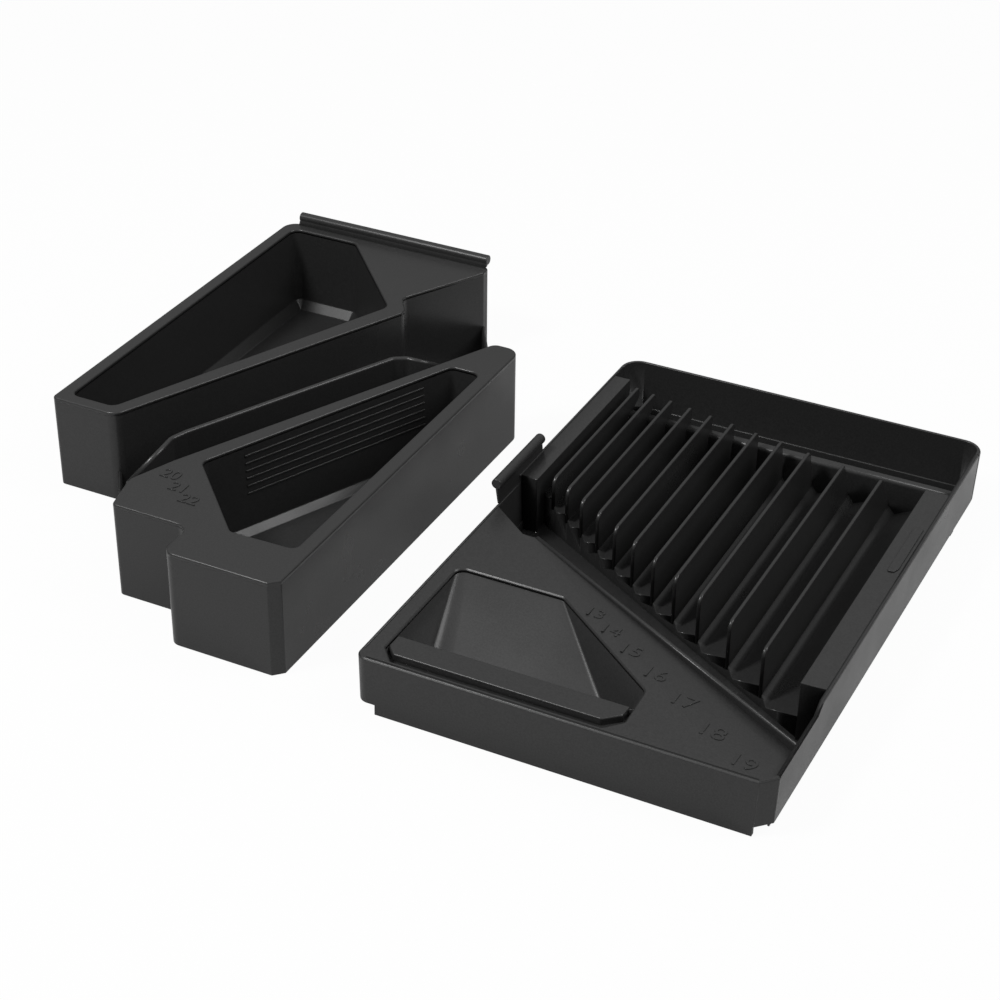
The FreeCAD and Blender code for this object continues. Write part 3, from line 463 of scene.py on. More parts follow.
@dataclass
class Skin:
    """Rounded copy of one moulded wall, deck or floor that stands for its solid."""

    node: str
    rounding_mm: tuple[float, ...] = (0.6, 0.45, 0.3, 0.2, 0.12)
    raised_mm: tuple[float, float] | None = None
    segments: int = 3
    sharp_deg: float = 30.0

    MERGE_MM: ClassVar[float] = 0.004
    FLAT_DEG: ClassVar[float] = 0.7
    TOUCH_MM: ClassVar[float] = 0.05
    LEVEL_MM: ClassVar[float] = 0.1
    # Edges on the trays' floor stay sharp, so that no slit opens beside it
    FOOT_MM: ClassVar[tuple[float, float]] = (1.9, 2.1)
    PROBES: ClassVar[tuple[float, ...]] = (0.15, 0.5, 0.85)
    LEAST_SPAN: ClassVar[float] = 1.2

    def source(self) -> bmesh.types.BMesh:
        """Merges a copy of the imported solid's triangles and joins its flat faces.

        Returns:
            The mesh.
        """
        bm = bmesh.new()
        bm.from_mesh(frame["nodes"][self.node].data)
        bmesh.ops.remove_doubles(bm, verts=bm.verts[:], dist=self.MERGE_MM * MM)
        bmesh.ops.dissolve_limit(
            bm,
            angle_limit=math.radians(self.FLAT_DEG),
            use_dissolve_boundaries=False,
            verts=bm.verts[:],
            edges=bm.edges[:],
        )
        bm.normal_update()
        return bm

    def raise_top(self, bm: bmesh.types.BMesh) -> None:
        """Lifts the points at one height to another, up to the piece above.

        Args:
            bm: the skin's mesh.
        """
        level, height = self.raised_mm
        for vert in bm.verts:
            if abs(vert.co.z - level * MM) < self.LEVEL_MM * MM:
                vert.co.z = height * MM

    def joins(self, edge: bmesh.types.BMEdge, near: list[BVHTree]) -> bool:
        """Whether an edge lies on a neighbour, so that both are one moulding there.

        Args:
            edge: an edge of this skin.
            near: surfaces of the neighbouring solids.

        Returns:
            True when at least two of three points on the edge touch a neighbour.
        """
        a, b = edge.verts[0].co, edge.verts[1].co
        hits = 0
        for share in self.PROBES:
            point = a.lerp(b, share)
            if any(tree.find_nearest(point, self.TOUCH_MM * MM)[0] is not None for tree in near):
                hits += 1
        return hits >= 2

    def bevelled(self, bm: bmesh.types.BMesh, near: list[BVHTree], radius: float) -> None:
        """Rounds the free edges that stand out.

        Args:
            bm: the skin's mesh.
            near: surfaces of the neighbouring solids.
            radius: width of the rounding in mm.
        """
        limit = math.radians(self.sharp_deg)
        shortest = self.LEAST_SPAN * radius * MM
        chosen = []
        for edge in bm.edges:
            if not edge.is_manifold:
                continue
            heights = [v.co.z / MM for v in edge.verts]
            if self.FOOT_MM[0] < min(heights) and max(heights) < self.FOOT_MM[1]:
                continue
            sharp = edge.calc_face_angle_signed(0.0) > limit
            if sharp and edge.calc_length() > shortest and not self.joins(edge, near):
                chosen.append(edge)
        if chosen:
            bmesh.ops.bevel(
                bm,
                geom=chosen,
                offset=radius * MM,
                offset_type="OFFSET",
                segments=self.segments,
                profile=0.5,
                affect="EDGES",
                material=-1,
                clamp_overlap=False,
                loop_slide=True,
            )
            bm.normal_update()

    def sound(self, bm: bmesh.types.BMesh) -> bool:
        """Whether a mesh is closed and no part of it runs through another.

        Args:
            bm: the mesh.

        Returns:
            True when it is sound.
        """
        if any(not edge.is_manifold for edge in bm.edges):
            return False
        flat = bm.copy()
        bmesh.ops.triangulate(flat, faces=flat.faces[:])
        flat.faces.ensure_lookup_table()
        corners = [{vert.index for vert in face.verts} for face in flat.faces]
        tree = BVHTree.FromBMesh(flat)
        flat.free()
        return not any(i < j and not corners[i] & corners[j] for i, j in tree.overlap(tree))

    def rounded(self, near: list[BVHTree]) -> bmesh.types.BMesh:
        """The skin with the widest rounding that stays sound.

        Args:
            near: surfaces of the neighbouring solids.

        Returns:
            The mesh.
        """
        base = self.source()
        if self.raised_mm is not None:
            self.raise_top(base)
        for radius in self.rounding_mm:
            trial = base.copy()
            self.bevelled(trial, near, radius)
            if self.sound(trial):
                base.free()
                return trial
            trial.free()
        return base


@dataclass
class BoxShell:
    """Upright outer wall of one box, open above and below."""

    node: str
    outline: Outline
    top_mm: float = 52.8
    wall_mm: float = 2.2
    foot_round_mm: float = 0.5

    def build(self) -> bmesh.types.BMesh:
        """Makes the wall.

        Returns:
            Its mesh.
        """
        r = self.foot_round_mm
        w = self.wall_mm
        section = softened([(0.0, self.top_mm, 0.0), (0.0, 0.0, r), (w, 0.0, r), (w, self.top_mm, 0.0)], 3)
        wall = Moulder(Tray.BOTTOM)
        rings = wall.rings(self.outline, section)
        wall.skin(rings + rings[:1])
        return wall.finished()


@dataclass
class Deck:
    """Flat top of one box, with the pocket opening and both its rims rounded."""

    node: str
    outline: Outline
    rim: Outline
    top_mm: float = 55.0
    low_mm: float = 52.8
    edge_mm: float = 1.1
    lean_mm: float = 0.1

    def build(self) -> bmesh.types.BMesh:
        """Makes the deck.

        Returns:
            Its mesh.
        """
        edge = self.edge_mm
        top = self.top_mm
        deck = Moulder(Tray.BOTTOM)
        outer = softened([(0.0, self.low_mm, 0.0), (0.0, top, edge), (2.0 * edge, top, 0.0)])
        inner = softened([(-2.0 * edge, top, 0.0), (0.0, top, edge), (self.lean_mm, self.low_mm, 0.0)])
        outside = deck.rings(self.outline, outer[:-1])
        inside = deck.rings(self.rim, inner[1:])
        deck.skin(outside)
        deck.skin(inside)
        deck.between(outside[-1], inside[0])
        deck.between(outside[0], inside[-1])
        return deck.finished()


@dataclass
class Pocket:
    """Deep tapered pocket with a sloping foot round its floor."""

    node: str
    rim: Outline
    floor_mm: float
    foot_mm: float
    lean_mm: float
    top_mm: float = 52.8
    deck_mm: float = 55.0
    sheet_mm: float = 2.0
    border_mm: float = 3.0
    inner_rounds: tuple[float, float] = (1.5, 1.2)
    outer_rounds: tuple[float, float] = (2.0, 1.5)

    def build(self) -> bmesh.types.BMesh:
        """Makes the inside, the outside and the floor of the pocket.

        Returns:
            Its mesh.
        """
        spread = (self.deck_mm - self.floor_mm) / self.deck_mm
        lean = self.lean_mm * spread
        knee = self.floor_mm + self.foot_mm
        at_top = lean * (self.deck_mm - self.top_mm) / (self.deck_mm - knee)
        toe = lean + self.foot_mm
        inside = softened(
            [
                (at_top, self.top_mm, 0.0),
                (lean, knee, self.inner_rounds[0]),
                (toe, self.floor_mm, self.inner_rounds[1]),
                (toe + self.border_mm, self.floor_mm, 0.0),
            ]
        )
        low = self.floor_mm - self.sheet_mm
        outside = softened(
            [
                (-self.sheet_mm, self.top_mm, 0.0),
                (lean - self.sheet_mm, low + self.foot_mm, self.outer_rounds[0]),
                (toe - self.sheet_mm, low, self.outer_rounds[1]),
                (toe + self.border_mm, low, 0.0),
            ]
        )
        pocket = Moulder(Tray.BOTTOM, arc_steps=10)
        inner = pocket.rings(self.rim, inside)
        outer = pocket.rings(self.rim, outside)
        pocket.skin(outer[::-1] + inner)
        pocket.bm.faces.new(inner[-1])
        pocket.bm.faces.new(outer[-1][::-1])
        return pocket.finished()


@dataclass
class SlotRidge:
    """Thin round-topped wall that winds between the two long slots."""

    node: str = "slot_ridge"
    line: tuple[Point, ...] = (
        (86.1, -57.0),
        (81.0, -10.0),
        (84.0, -1.0),
        (142.0, 120.3),
        (149.0, 124.4),
        (170.6, 125.0),
    )
    bend_mm: float = 6.0
    thickness_mm: float = 3.0
    foot_z: float = 2.0
    top_z: float = 55.0
    crown_mm: float = 1.5

    CROWN_STEPS: ClassVar[int] = 12

    def build(self) -> bmesh.types.BMesh:
        """Makes the wall.

        Returns:
            Its mesh.
        """
        path = softened([(x, y, self.bend_mm) for x, y in self.line], 6)
        half = self.thickness_mm / 2.0
        section = [(-half, self.foot_z)]
        for k in range(self.CROWN_STEPS + 1):
            angle = math.pi * (1.0 - k / self.CROWN_STEPS)
            section.append((half * math.cos(angle), self.top_z - self.crown_mm * (1.0 - math.sin(angle))))
        section.append((half, self.foot_z))
        ridge = Moulder(Tray.BOTTOM)
        rows = []
        for i, (x, y) in enumerate(path):
            ax, ay = unit(*path[max(i - 1, 0)], *path[max(i, 1)])
            last = min(i + 1, len(path) - 1)
            bx, by = unit(*path[last - 1], *path[last])
            share = 1.0 / (1.0 + ax * bx + ay * by)
            nx, ny = -(ay + by) * share, (ax + bx) * share
            rows.append([ridge.vert(x + nx * s, y + ny * s, z) for s, z in section])
        ridge.skin(rows)
        ridge.bm.faces.new(rows[0])
        ridge.bm.faces.new(rows[-1][::-1])
        return ridge.finished()


@dataclass
class BeadedLip:
    """Leaning lip with a round bead, drawn straight out along one wall."""

    node: str
    tray: Tray
    foot: Point
    foot_z: float
    bead: Point
    radius: float
    stem: float
    start: float
    stop: float
    lengthwise: bool = False
    end_round: float = 0.5

    BEAD_STEPS: ClassVar[int] = 26

    def section(self) -> list[Point]:
        """Works out the lip's shape across its length.

        Returns:
            Its outline as (plan, height) points.
        """
        across, z = self.bead
        middle = (self.foot[0] + self.foot[1]) / 2.0
        half = math.asin(0.5 * self.stem / self.radius)
        first = math.atan2(self.foot_z - z, middle - across) - half
        sweep = 2.0 * math.pi - 2.0 * half
        line = [(self.foot[0], self.foot_z)]
        for k in range(self.BEAD_STEPS + 1):
            angle = first - sweep * k / self.BEAD_STEPS
            line.append((across + self.radius * math.cos(angle), z + self.radius * math.sin(angle)))
        line.append((self.foot[1], self.foot_z))
        return line

    def build(self) -> bmesh.types.BMesh:
        """Makes the lip.

        Returns:
            Its mesh.
        """
        lip = Moulder(self.tray)
        section = self.section()
        rows = []
        for along in (self.start, self.stop):
            if self.lengthwise:
                rows.append([lip.vert(p, along, z) for p, z in section])
            else:
                rows.append([lip.vert(along, p, z) for p, z in section])
        lip.skin(rows)
        caps = [lip.bm.faces.new(rows[0]), lip.bm.faces.new(rows[1][::-1])]
        bm = lip.finished()
        edges = [e for cap in caps for e in cap.edges]
        bmesh.ops.bevel(
            bm,
            geom=edges,
            offset=self.end_round * MM,
            offset_type="OFFSET",
            segments=3,
            profile=0.5,
            affect="EDGES",
            material=-1,
        )
        return bm


@dataclass
class Comb:
    """Eleven thin dividers, each with a rounded nose, crown and tip."""

    count: int = 11
    top_z: float = 35.0
    nose_radius: float = 4.5
    tip_radius: float = 2.5
    tip_over: float = 14.9
    tip_slope: float = -0.2
    ridge_front_y: float = 278.5
    ridge_rear_y: float = 284.0
    ridge_z: float = 25.0
    tip_foot_z: float = 29.0
    edge_mm: float = 0.75
    first_x: float = 18.5
    sink_mm: float = 2.6
    heel_mm: float = 2.0

    NOSE_STEPS: ClassVar[int] = 6
    TIP_STEPS: ClassVar[int] = 5

    def profile(self, front: float, tip: float, low: float, heel: float) -> tuple[list[Point], int]:
        """Side view of one divider.

        Args:
            front: y of its nose.
            tip: y of its rear tip.
            low: height of its lower edge.
            heel: height at the rear ridge when the tip stops short of it.

        Returns:
            The (y, z) points and how many of them, from the second, lie on free edges.
        """
        top = self.top_z
        points = [(front, low)]
        r = self.nose_radius
        for k in range(self.NOSE_STEPS + 1):
            angle = math.pi - 0.5 * math.pi * k / self.NOSE_STEPS
            points.append((front + r + r * math.cos(angle), top - r + r * math.sin(angle)))
        r = self.tip_radius
        for k in range(self.TIP_STEPS + 1):
            angle = 0.5 * math.pi * (1.0 - k / self.TIP_STEPS)
            points.append((tip - r + r * math.cos(angle), top - r + r * math.sin(angle)))
        free = len(points)
        if tip > self.ridge_front_y:
            over = min(tip, self.ridge_rear_y)
            points.append((tip, self.tip_foot_z))
            free = len(points)
            sunk = self.ridge_z - self.sink_mm
            points += [(over, self.ridge_z), (over, sunk), (self.ridge_front_y, sunk)]
        else:
            points.append((self.ridge_front_y, heel))
        points.append((self.ridge_front_y, low))
        return points, free

    def divider(self, index: int) -> bmesh.types.BMesh:
        """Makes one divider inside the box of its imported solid.

        Args:
            index: its number from the left.

        Returns:
            The mesh.
        """
        low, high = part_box("divider_%02d" % index)
        at = Tray.TOP.origin
        x0, x1 = low[0] / MM - at.x, high[0] / MM - at.x
        tip = self.ridge_front_y + self.tip_over + self.tip_slope * ((x0 + x1) / 2.0 - self.first_x)
        foot = low[2] / MM
        points, free = self.profile(low[1] / MM - at.y, tip, foot, foot + self.heel_mm)
        plate = Moulder(Tray.TOP)
        rows = [[plate.vert(x, y, z) for y, z in points] for x in (x0, x1)]
        plate.skin(rows)
        plate.bm.faces.new(rows[0])
        plate.bm.faces.new(rows[1][::-1])
        bm = plate.finished()
        chosen = []
        for row in rows:
            for a, b in zip(row[:free], row[1:free]):
                chosen.append(bm.edges.get((a, b)))
        bmesh.ops.bevel(
            bm,
            geom=chosen,
            offset=self.edge_mm * MM,
            offset_type="OFFSET",
            segments=4,
            profile=0.5,
            affect="EDGES",
            material=-1,
        )
        return bm


@dataclass
class CrownedWall:
    """Straight upright wall with a rounded top, between two plan points."""

    node: str
    start: Point
    stop: Point
    thickness: float
    foot_z: float
    top_z: float
    front_round: float
    rear_round: float
    cut_x: float | None = None

    ROUND_STEPS: ClassVar[int] = 6

    def section(self) -> list[Point]:
        """Works out the wall's shape across its length.

        Returns:
            Its outline as (distance to the left of the line, height) points.
        """
        line = [(0.0, self.foot_z)]
        rear = self.thickness - self.rear_round
        for middle, r, share in ((self.front_round, self.front_round, 1.0), (rear, self.rear_round, 0.5)):
            for k in range(self.ROUND_STEPS + 1):
                angle = math.pi * (share - 0.5 * k / self.ROUND_STEPS)
                line.append((middle + r * math.cos(angle), self.top_z - r + r * math.sin(angle)))
        line.append((self.thickness, self.foot_z))
        return line

    def build(self) -> bmesh.types.BMesh:
        """Makes the wall, its far end cut off square to the tray where cut_x is given.

        Returns:
            Its mesh.
        """
        dx, dy = unit(*self.start, *self.stop)
        line = self.section()
        wall = Moulder(Tray.TOP)
        rows = []
        for x, y in (self.start, self.stop):
            row = []
            for s, z in line:
                px, py = x - dy * s, y + dx * s
                if self.cut_x is not None and (x, y) == self.stop:
                    py += dy / dx * (self.cut_x - px)
                    px = self.cut_x
                row.append(wall.vert(px, py, z))
            rows.append(row)
        wall.skin(rows)
        wall.bm.faces.new(rows[0])
        wall.bm.faces.new(rows[1][::-1])
        return wall.finished()


@dataclass
class Scoop:
    """Small parts pocket: steep front, slanted sides and a long back slope, all softly blended."""

    node: str = "parts_pocket"
    rim: Outline = Outline(
        ((9.8, 26.5, 1.0), (133.6, 26.5, 1.0), (133.6, 39.3, 6.0), (67.7, 89.9, 4.0), (9.8, 89.9, 5.0))
    )
    base: Outline = Outline(
        ((20.7, 26.5, 3.0), (124.0, 26.5, 2.0), (124.0, 34.3, 8.0), (115.3, 41.0, 9.0), (20.7, 41.0, 12.0))
    )
    top_z: float = 28.8
    floor_z: float = 4.0
    sheet_mm: float = 2.0
    blend: float = 0.12
    blend_mm: float = 3.0

    STRAIGHT: ClassVar[tuple[float, ...]] = (0.0, 0.4)
    BLEND_STEPS: ClassVar[int] = 5

    def level(self, share: float, grow: float) -> Outline:
        """Outline part of the way down from the rim to the floor.

        Args:
            share: 0 at the rim, 1 at the floor.
            grow: how far outwards, in mm.

        Returns:
            The outline.
        """
        corners = []
        for high, low in zip(self.rim.corners, self.base.corners):
            corners.append(tuple(h + (f - h) * share for h, f in zip(high, low)))
        return Outline(tuple(corners)).moved(-grow)

    def wall(self, scoop: Moulder, grow: float) -> list[Ring]:
        """Makes the rings of one side of the sheet, from the rim to the floor.

        Args:
            scoop: the moulder that the rings go to.
            grow: how far the side lies outwards, in mm.

        Returns:
            The rings.
        """
        low = self.floor_z - grow
        drop = low - self.top_z
        start = 1.0 - self.blend
        knots = (
            (self.level(start, grow), self.top_z + drop * start),
            (self.level(1.0, grow), low),
            (self.level(1.0, grow - self.blend_mm), low),
        )
        rings = [scoop.ring(self.level(share, grow), self.top_z + drop * share) for share in self.STRAIGHT]
        lines = [[(x, y, z) for x, y in outline.points(scoop.arc_steps)] for outline, z in knots]
        for k in range(self.BLEND_STEPS + 1):
            t = k / self.BLEND_STEPS
            weights = ((1.0 - t) ** 2, 2.0 * t * (1.0 - t), t * t)
            ring = []
            for group in zip(*lines):
                ring.append(scoop.vert(*(sum(w * c[i] for w, c in zip(weights, group)) for i in range(3))))
            rings.append(ring)
        return rings

    def build(self) -> bmesh.types.BMesh:
        """Makes the pocket.

        Returns:
            Its mesh.
        """
        scoop = Moulder(Tray.TOP)
        inner = self.wall(scoop, 0.0)
        outer = self.wall(scoop, self.sheet_mm)
        scoop.skin(outer[::-1] + inner)
        scoop.bm.faces.new(inner[-1])
        scoop.bm.faces.new(outer[-1][::-1])
        return scoop.finished()


@dataclass
class Shelf:
    """Shelf in front of the small parts pocket, open below."""

    node: str = "pocket_shelf"
    outline: Outline = Outline(
        (
            (9.8, 17.5, 1.5),
            (15.0, 12.0, 2.0),
            (123.5, 12.0, 2.0),
            (131.2, 19.0, 1.5),
            (131.6, 26.5, 0.4),
            (9.8, 26.5, 0.4),
        )
    )
    top_z: float = 29.5
    low_z: float = 23.5
    edge_mm: float = 1.0
    sheet_mm: float = 2.0

    def build(self) -> bmesh.types.BMesh:
        """Makes the shelf.

        Returns:
            Its mesh.
        """
        edge = self.edge_mm
        sheet = self.sheet_mm
        outside = softened([(0.0, self.low_z, 0.0), (0.0, self.top_z, edge), (2.0 * edge, self.top_z, 0.0)])
        inside = [(sheet, self.low_z), (sheet, self.top_z - sheet)]
        shelf = Moulder(Tray.TOP, arc_steps=4)
        inner = shelf.rings(self.outline, inside)
        outer = shelf.rings(self.outline, outside[:-1])
        shelf.skin(inner[::-1] + outer)
        shelf.bm.faces.new(inner[-1])
        shelf.bm.faces.new(outer[-1])
        return shelf.finished()


@dataclass
class LedgeStrip:
    """Low strip on the right ledge, narrowed at its front end."""

    node: str = "ledge_strip"
    outline: Outline = Outline(
        (
            (203.6, 178.6, 1.2),
            (206.9, 178.6, 1.4),
            (208.4, 182.5, 1.6),
            (208.4, 224.0, 2.3),
            (203.4, 224.0, 2.3),
            (203.4, 181.0, 1.0),
        )
    )
    low_z: float = 35.5
    top_z: float = 36.3
    edge_mm: float = 0.45
    border_mm: float = 1.4

    def build(self) -> bmesh.types.BMesh:
        """Makes the strip.

        Returns:
            Its mesh.
        """
        top = self.top_z
        section = softened([(0.0, self.low_z, 0.0), (0.0, top, self.edge_mm), (self.border_mm, top, 0.0)])
        strip = Moulder(Tray.TOP, arc_steps=6)
        rings = strip.rings(self.outline, section)
        strip.skin(rings)
        strip.bm.faces.new(rings[0])
        strip.bm.faces.new(rings[-1])
        return strip.finished()


@dataclass
class BottomTray:
    """Deep tray: two boxes with pockets, the winding ridge and the grip rail."""

    rear_box: Outline = Outline(
        (
            (0.0, -4.5, 3.0),
            (40.9, -4.5, 8.0),
            (121.8, 172.1, 6.0),
            (111.9, 186.0, 6.0),
            (139.4, 237.4, 2.0),
            (139.4, 244.9, 3.0),
            (0.0, 244.9, 9.0),
        )
    )
    rear_rim: Outline = Outline(
        ((7.6, 3.0, 5.0), (35.1, 3.0, 6.0), (110.0, 172.6, 7.0), (51.3, 237.0, 6.0), (7.6, 237.0, 6.0))
    )
    front_box: Outline = Outline(
        (
            (91.0, -78.9, 3.0),
            (137.0, -78.9, 7.0),
            (137.0, -103.2, 6.0),
            (197.0, -103.2, 1.0),
            (202.0, -98.2, 1.0),
            (202.0, 160.5, 9.0),
            (185.3, 160.5, 6.0),
            (94.9, -29.4, 8.0),
            (85.0, -55.0, 6.0),
        )
    )
    front_rim: Outline = Outline(
        (
            (108.6, -23.5, 6.0),
            (157.0, -72.5, 4.0),
            (193.8, -71.5, 4.0),
            (194.0, 126.0, 5.0),
            (176.2, 126.0, 5.0),
        )
    )

    def build(self, materials: dict[Finish, bpy.types.Material]) -> None:
        """Makes the pieces that are modelled anew.

        Args:
            materials: the materials by finish.
        """
        textured = materials[Finish.TEXTURED]
        # The pocket finish's slightly darker colour is painted shade in the pockets
        smooth = materials[Finish.SMOOTH]
        rail = BeadedLip(
            "grip_rail",
            Tray.BOTTOM,
            foot=(242.6, 244.6),
            foot_z=55.0,
            bead=(246.7, 58.8),
            radius=3.0,
            stem=2.2,
            start=7.5,
            stop=138.0,
        )
        rear_pocket = Pocket("rear_pocket", self.rear_rim, floor_mm=2.8, foot_mm=5.0, lean_mm=1.7)
        front_pocket = Pocket("front_pocket", self.front_rim, floor_mm=2.2, foot_mm=4.0, lean_mm=2.6)
        pieces = (
            (BoxShell("rear_box_walls", self.rear_box), textured),
            (Deck("rear_box_deck", self.rear_box, self.rear_rim), textured),
            (rear_pocket, smooth),
            (BoxShell("front_box_walls", self.front_box), textured),
            (Deck("front_box_deck", self.front_box, self.front_rim), textured),
            (front_pocket, smooth),
            (SlotRidge(), textured),
            (rail, textured),
        )
        for piece, material in pieces:
            stand_in(piece.node, Tray.BOTTOM, piece.build(), material)


@dataclass
class TopTray:
    """Shallow tray: the comb, the hook lip, two crowned walls and the parts pocket."""

    def build(self, materials: dict[Finish, bpy.types.Material]) -> None:
        """Makes the pieces that are modelled anew.

        Args:
            materials: the materials by finish.
        """
        comb = Comb()
        # The dividers' finish has a slightly darker colour, painted shade between them
        for index in range(1, comb.count + 1):
            stand_in("divider_%02d" % index, Tray.TOP, comb.divider(index), materials[Finish.COMB])
        hook = BeadedLip(
            "hook_lip",
            Tray.TOP,
            foot=(0.2, 1.5),
            foot_z=31.0,
            bead=(-0.5, 42.5),
            radius=2.9,
            stem=1.8,
            start=151.6,
            stop=205.0,
            lengthwise=True,
        )
        lip = CrownedWall(
            "deck_lip",
            start=(31.9, 132.0),
            stop=(209.67, 32.82),
            thickness=2.4,
            foot_z=2.0,
            top_z=31.0,
            front_round=1.15,
            rear_round=1.15,
            cut_x=209.67,
        )
        ridge = CrownedWall(
            "rear_ridge",
            start=(2.5, 278.5),
            stop=(209.5, 278.5),
            thickness=5.5,
            foot_z=0.0,
            top_z=25.0,
            front_round=2.4,
            rear_round=0.9,
        )
        for piece in (hook, lip, ridge, LedgeStrip(), Scoop(), Shelf()):
            stand_in(piece.node, Tray.TOP, piece.build(), materials[Finish.TEXTURED])


@dataclass
class Mouldings:
    """The rest of both trays: walls, floors and decks as rounded skins."""

    materials: dict[Finish, bpy.types.Material]
    near_mm: float = 1.0

    MADE_ANEW: ClassVar[tuple[str, ...]] = (
        "rear_box_walls",
        "rear_box_deck",
        "rear_pocket",
        "front_box_walls",
        "front_box_deck",
        "front_pocket",
        "slot_ridge",
        "grip_rail",
        "hook_lip",
        "deck_lip",
        "rear_ridge",
        "ledge_strip",
        "parts_pocket",
        "pocket_shelf",
        "divider_",
    )
    FLOORS: ClassVar[tuple[str, ...]] = ("well_floor", "rear_floor", "slot_floor_")

    def surfaces(self) -> dict[str, tuple[BVHTree, Vector, Vector]]:
        """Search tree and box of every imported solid.

        Returns:
            The tree and the box's two corners by node name.
        """
        found = {}
        for name, node in frame["nodes"].items():
            bm = bmesh.new()
            bm.from_mesh(node.data)
            found[name] = (BVHTree.FromBMesh(bm), *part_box(name))
            bm.free()
        return found

    def skin(self, name: str) -> Skin:
        """Skin of one node, with what is special to it.

        Args:
            name: name of the node.

        Returns:
            The skin.
        """
        if name.startswith("pocket_rib"):
            return Skin(name, rounding_mm=(0.25,))
        if name == "deck_side_wall":
            # Its low end meets the sloping sheet above it
            return Skin(name, raised_mm=(27.6, 29.5))
        return Skin(name)

    def build(self) -> None:
        """Makes the skins of both trays."""
        surfaces = self.surfaces()
        members = frame["record"]["behaviour"]["bodies"]
        margin = self.near_mm * MM
        for tray in Tray:
            names = members[tray.value]
            for name in names:
                if name.startswith(self.MADE_ANEW):
                    continue
                low, high = surfaces[name][1:]
                near = []
                for other in names:
                    tree, lo, hi = surfaces[other]
                    apart = any(lo[i] > high[i] + margin or hi[i] < low[i] - margin for i in range(3))
                    if other not in (name, "hook_lip") and not apart:
                        near.append(tree)
                # Floors take the comb finish, whose slightly darker colour is painted shade low in the tray
                material = self.materials[Finish.COMB if name.startswith(self.FLOORS) else Finish.TEXTURED]
                stand_in(name, tray, self.skin(name).rounded(near), material)


@dataclass
class SizeNumbers:
    """Wrench sizes standing a little proud of a deck."""

    materials: dict[Finish, bpy.types.Material]
    deck_mm: float = 55.0
    raise_mm: float = 0.35
    sink_mm: float = 0.15
    edge_mm: float = 0.08
    thin_mm: float = 0.1
    merge_mm: float = 0.002

    SIZE_PER_HEIGHT: ClassVar[float] = 1.38

    def number(self, tray: Tray, text: str, x: float, y: float, z: float, height: float, tilt: Matrix) -> None:
        """Adds one number.

        Args:
            tray: the tray that carries it.
            text: its digits.
            x: plan place of its middle in mm.
            y: plan place of its middle in mm.
            z: height of the deck there in mm.
            height: height of the digits in mm.
            tilt: turn of the deck under it.
        """
        curve = bpy.data.curves.new("size_" + text, "FONT")
        curve.body = text
        curve.align_x = "CENTER"
        curve.align_y = "CENTER"
        curve.size = height * MM * self.SIZE_PER_HEIGHT
        curve.extrude = 0.5 * (self.raise_mm + self.sink_mm) * MM
        curve.bevel_depth = self.edge_mm * MM
        curve.offset = -self.thin_mm * MM
        curve.resolution_u = 6
        drawn = bpy.data.objects.new("size_drawing", curve)
        mesh = bpy.data.meshes.new_from_object(drawn)
        bpy.data.objects.remove(drawn)
        lift = z + 0.5 * (self.raise_mm - self.sink_mm)
        place = Matrix.Translation((tray.origin + Vector((x, y, lift))) * MM)
        bm = bmesh.new()
        bm.from_mesh(mesh)
        bmesh.ops.remove_doubles(bm, verts=bm.verts[:], dist=self.merge_mm * MM)
        bmesh.ops.transform(bm, matrix=place @ tilt, verts=bm.verts[:])
        bmesh.ops.recalc_face_normals(bm, faces=bm.faces[:])
        piece = solid_piece("size_number_" + text, bm, self.materials[Finish.TEXTURED])
        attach(piece, tray.value)

    def build(self) -> None:
        """Adds the numbers of both trays."""
        flat = Matrix.Identity(4)
        large = (("20", 102.2, -42.0, 8.0), ("21", 112.8, -50.8, 8.0), ("22", 123.6, -58.2, 8.0))
        for text, x, y, height in large:
            self.number(Tray.BOTTOM, text, x, y, self.deck_mm, height, flat)
        deck = NumberDeck()
        small = (
            ("13", 87.0, 84.6, 8.0),
            ("14", 99.5, 75.0, 8.4),
            ("15", 114.6, 64.6, 9.0),
            ("16", 132.2, 53.0, 9.6),
            ("17", 151.8, 40.0, 10.2),
            ("18", 172.2, 25.2, 10.6),
            ("19", 192.9, 11.4, 10.2),
        )
        for text, x, y, height in small:
            self.number(Tray.TOP, text, x, y, deck.height(x, y), height, deck.tilt())


@dataclass
class NumberDeck:
    """The sloping sheet that carries the sizes of the top tray."""

    left: Point = (1.0, 150.0)
    right: Point = (194.3, 1.1)
    top_mm: float = 31.0
    slope: float = 0.14

    def across(self) -> Vector:
        """Plan direction in which the deck falls."""
        run = Vector((self.right[0] - self.left[0], self.right[1] - self.left[1], 0.0)).normalized()
        return Vector((-run.y, run.x, 0.0))

    def height(self, x: float, y: float) -> float:
        """Height of the deck in mm at one plan point in mm."""
        away = Vector((x - self.left[0], y - self.left[1], 0.0)).dot(self.across())
        return self.top_mm - self.slope * away

    def tilt(self) -> Matrix:
        """Turn that lays flat lettering on the deck."""
        normal = (Vector((0.0, 0.0, 1.0)) + self.slope * self.across()).normalized()
        return Vector((0.0, 0.0, 1.0)).rotation_difference(normal).to_matrix().to_4x4()


@dataclass(frozen=True)
class SoftBox:
    """One studio lamp that faces the middle of the set; its lengths are metres."""

    name: str
    place: tuple[float, float, float]
    width: float
    depth: float
    watts: float

    def build(self) -> None:
        """Adds the lamp."""
        data = bpy.data.lights.new(self.name, "AREA")
        data.shape = "RECTANGLE"
        data.size = self.width
        data.size_y = self.depth
        data.energy = self.watts
        lamp = bpy.data.objects.new(self.name, data)
        lamp.location = self.place
        lamp.visible_camera = False
        lamp.rotation_euler = Vector(self.place).to_track_quat("Z", "Y").to_euler()
        bpy.context.scene.collection.objects.link(lamp)


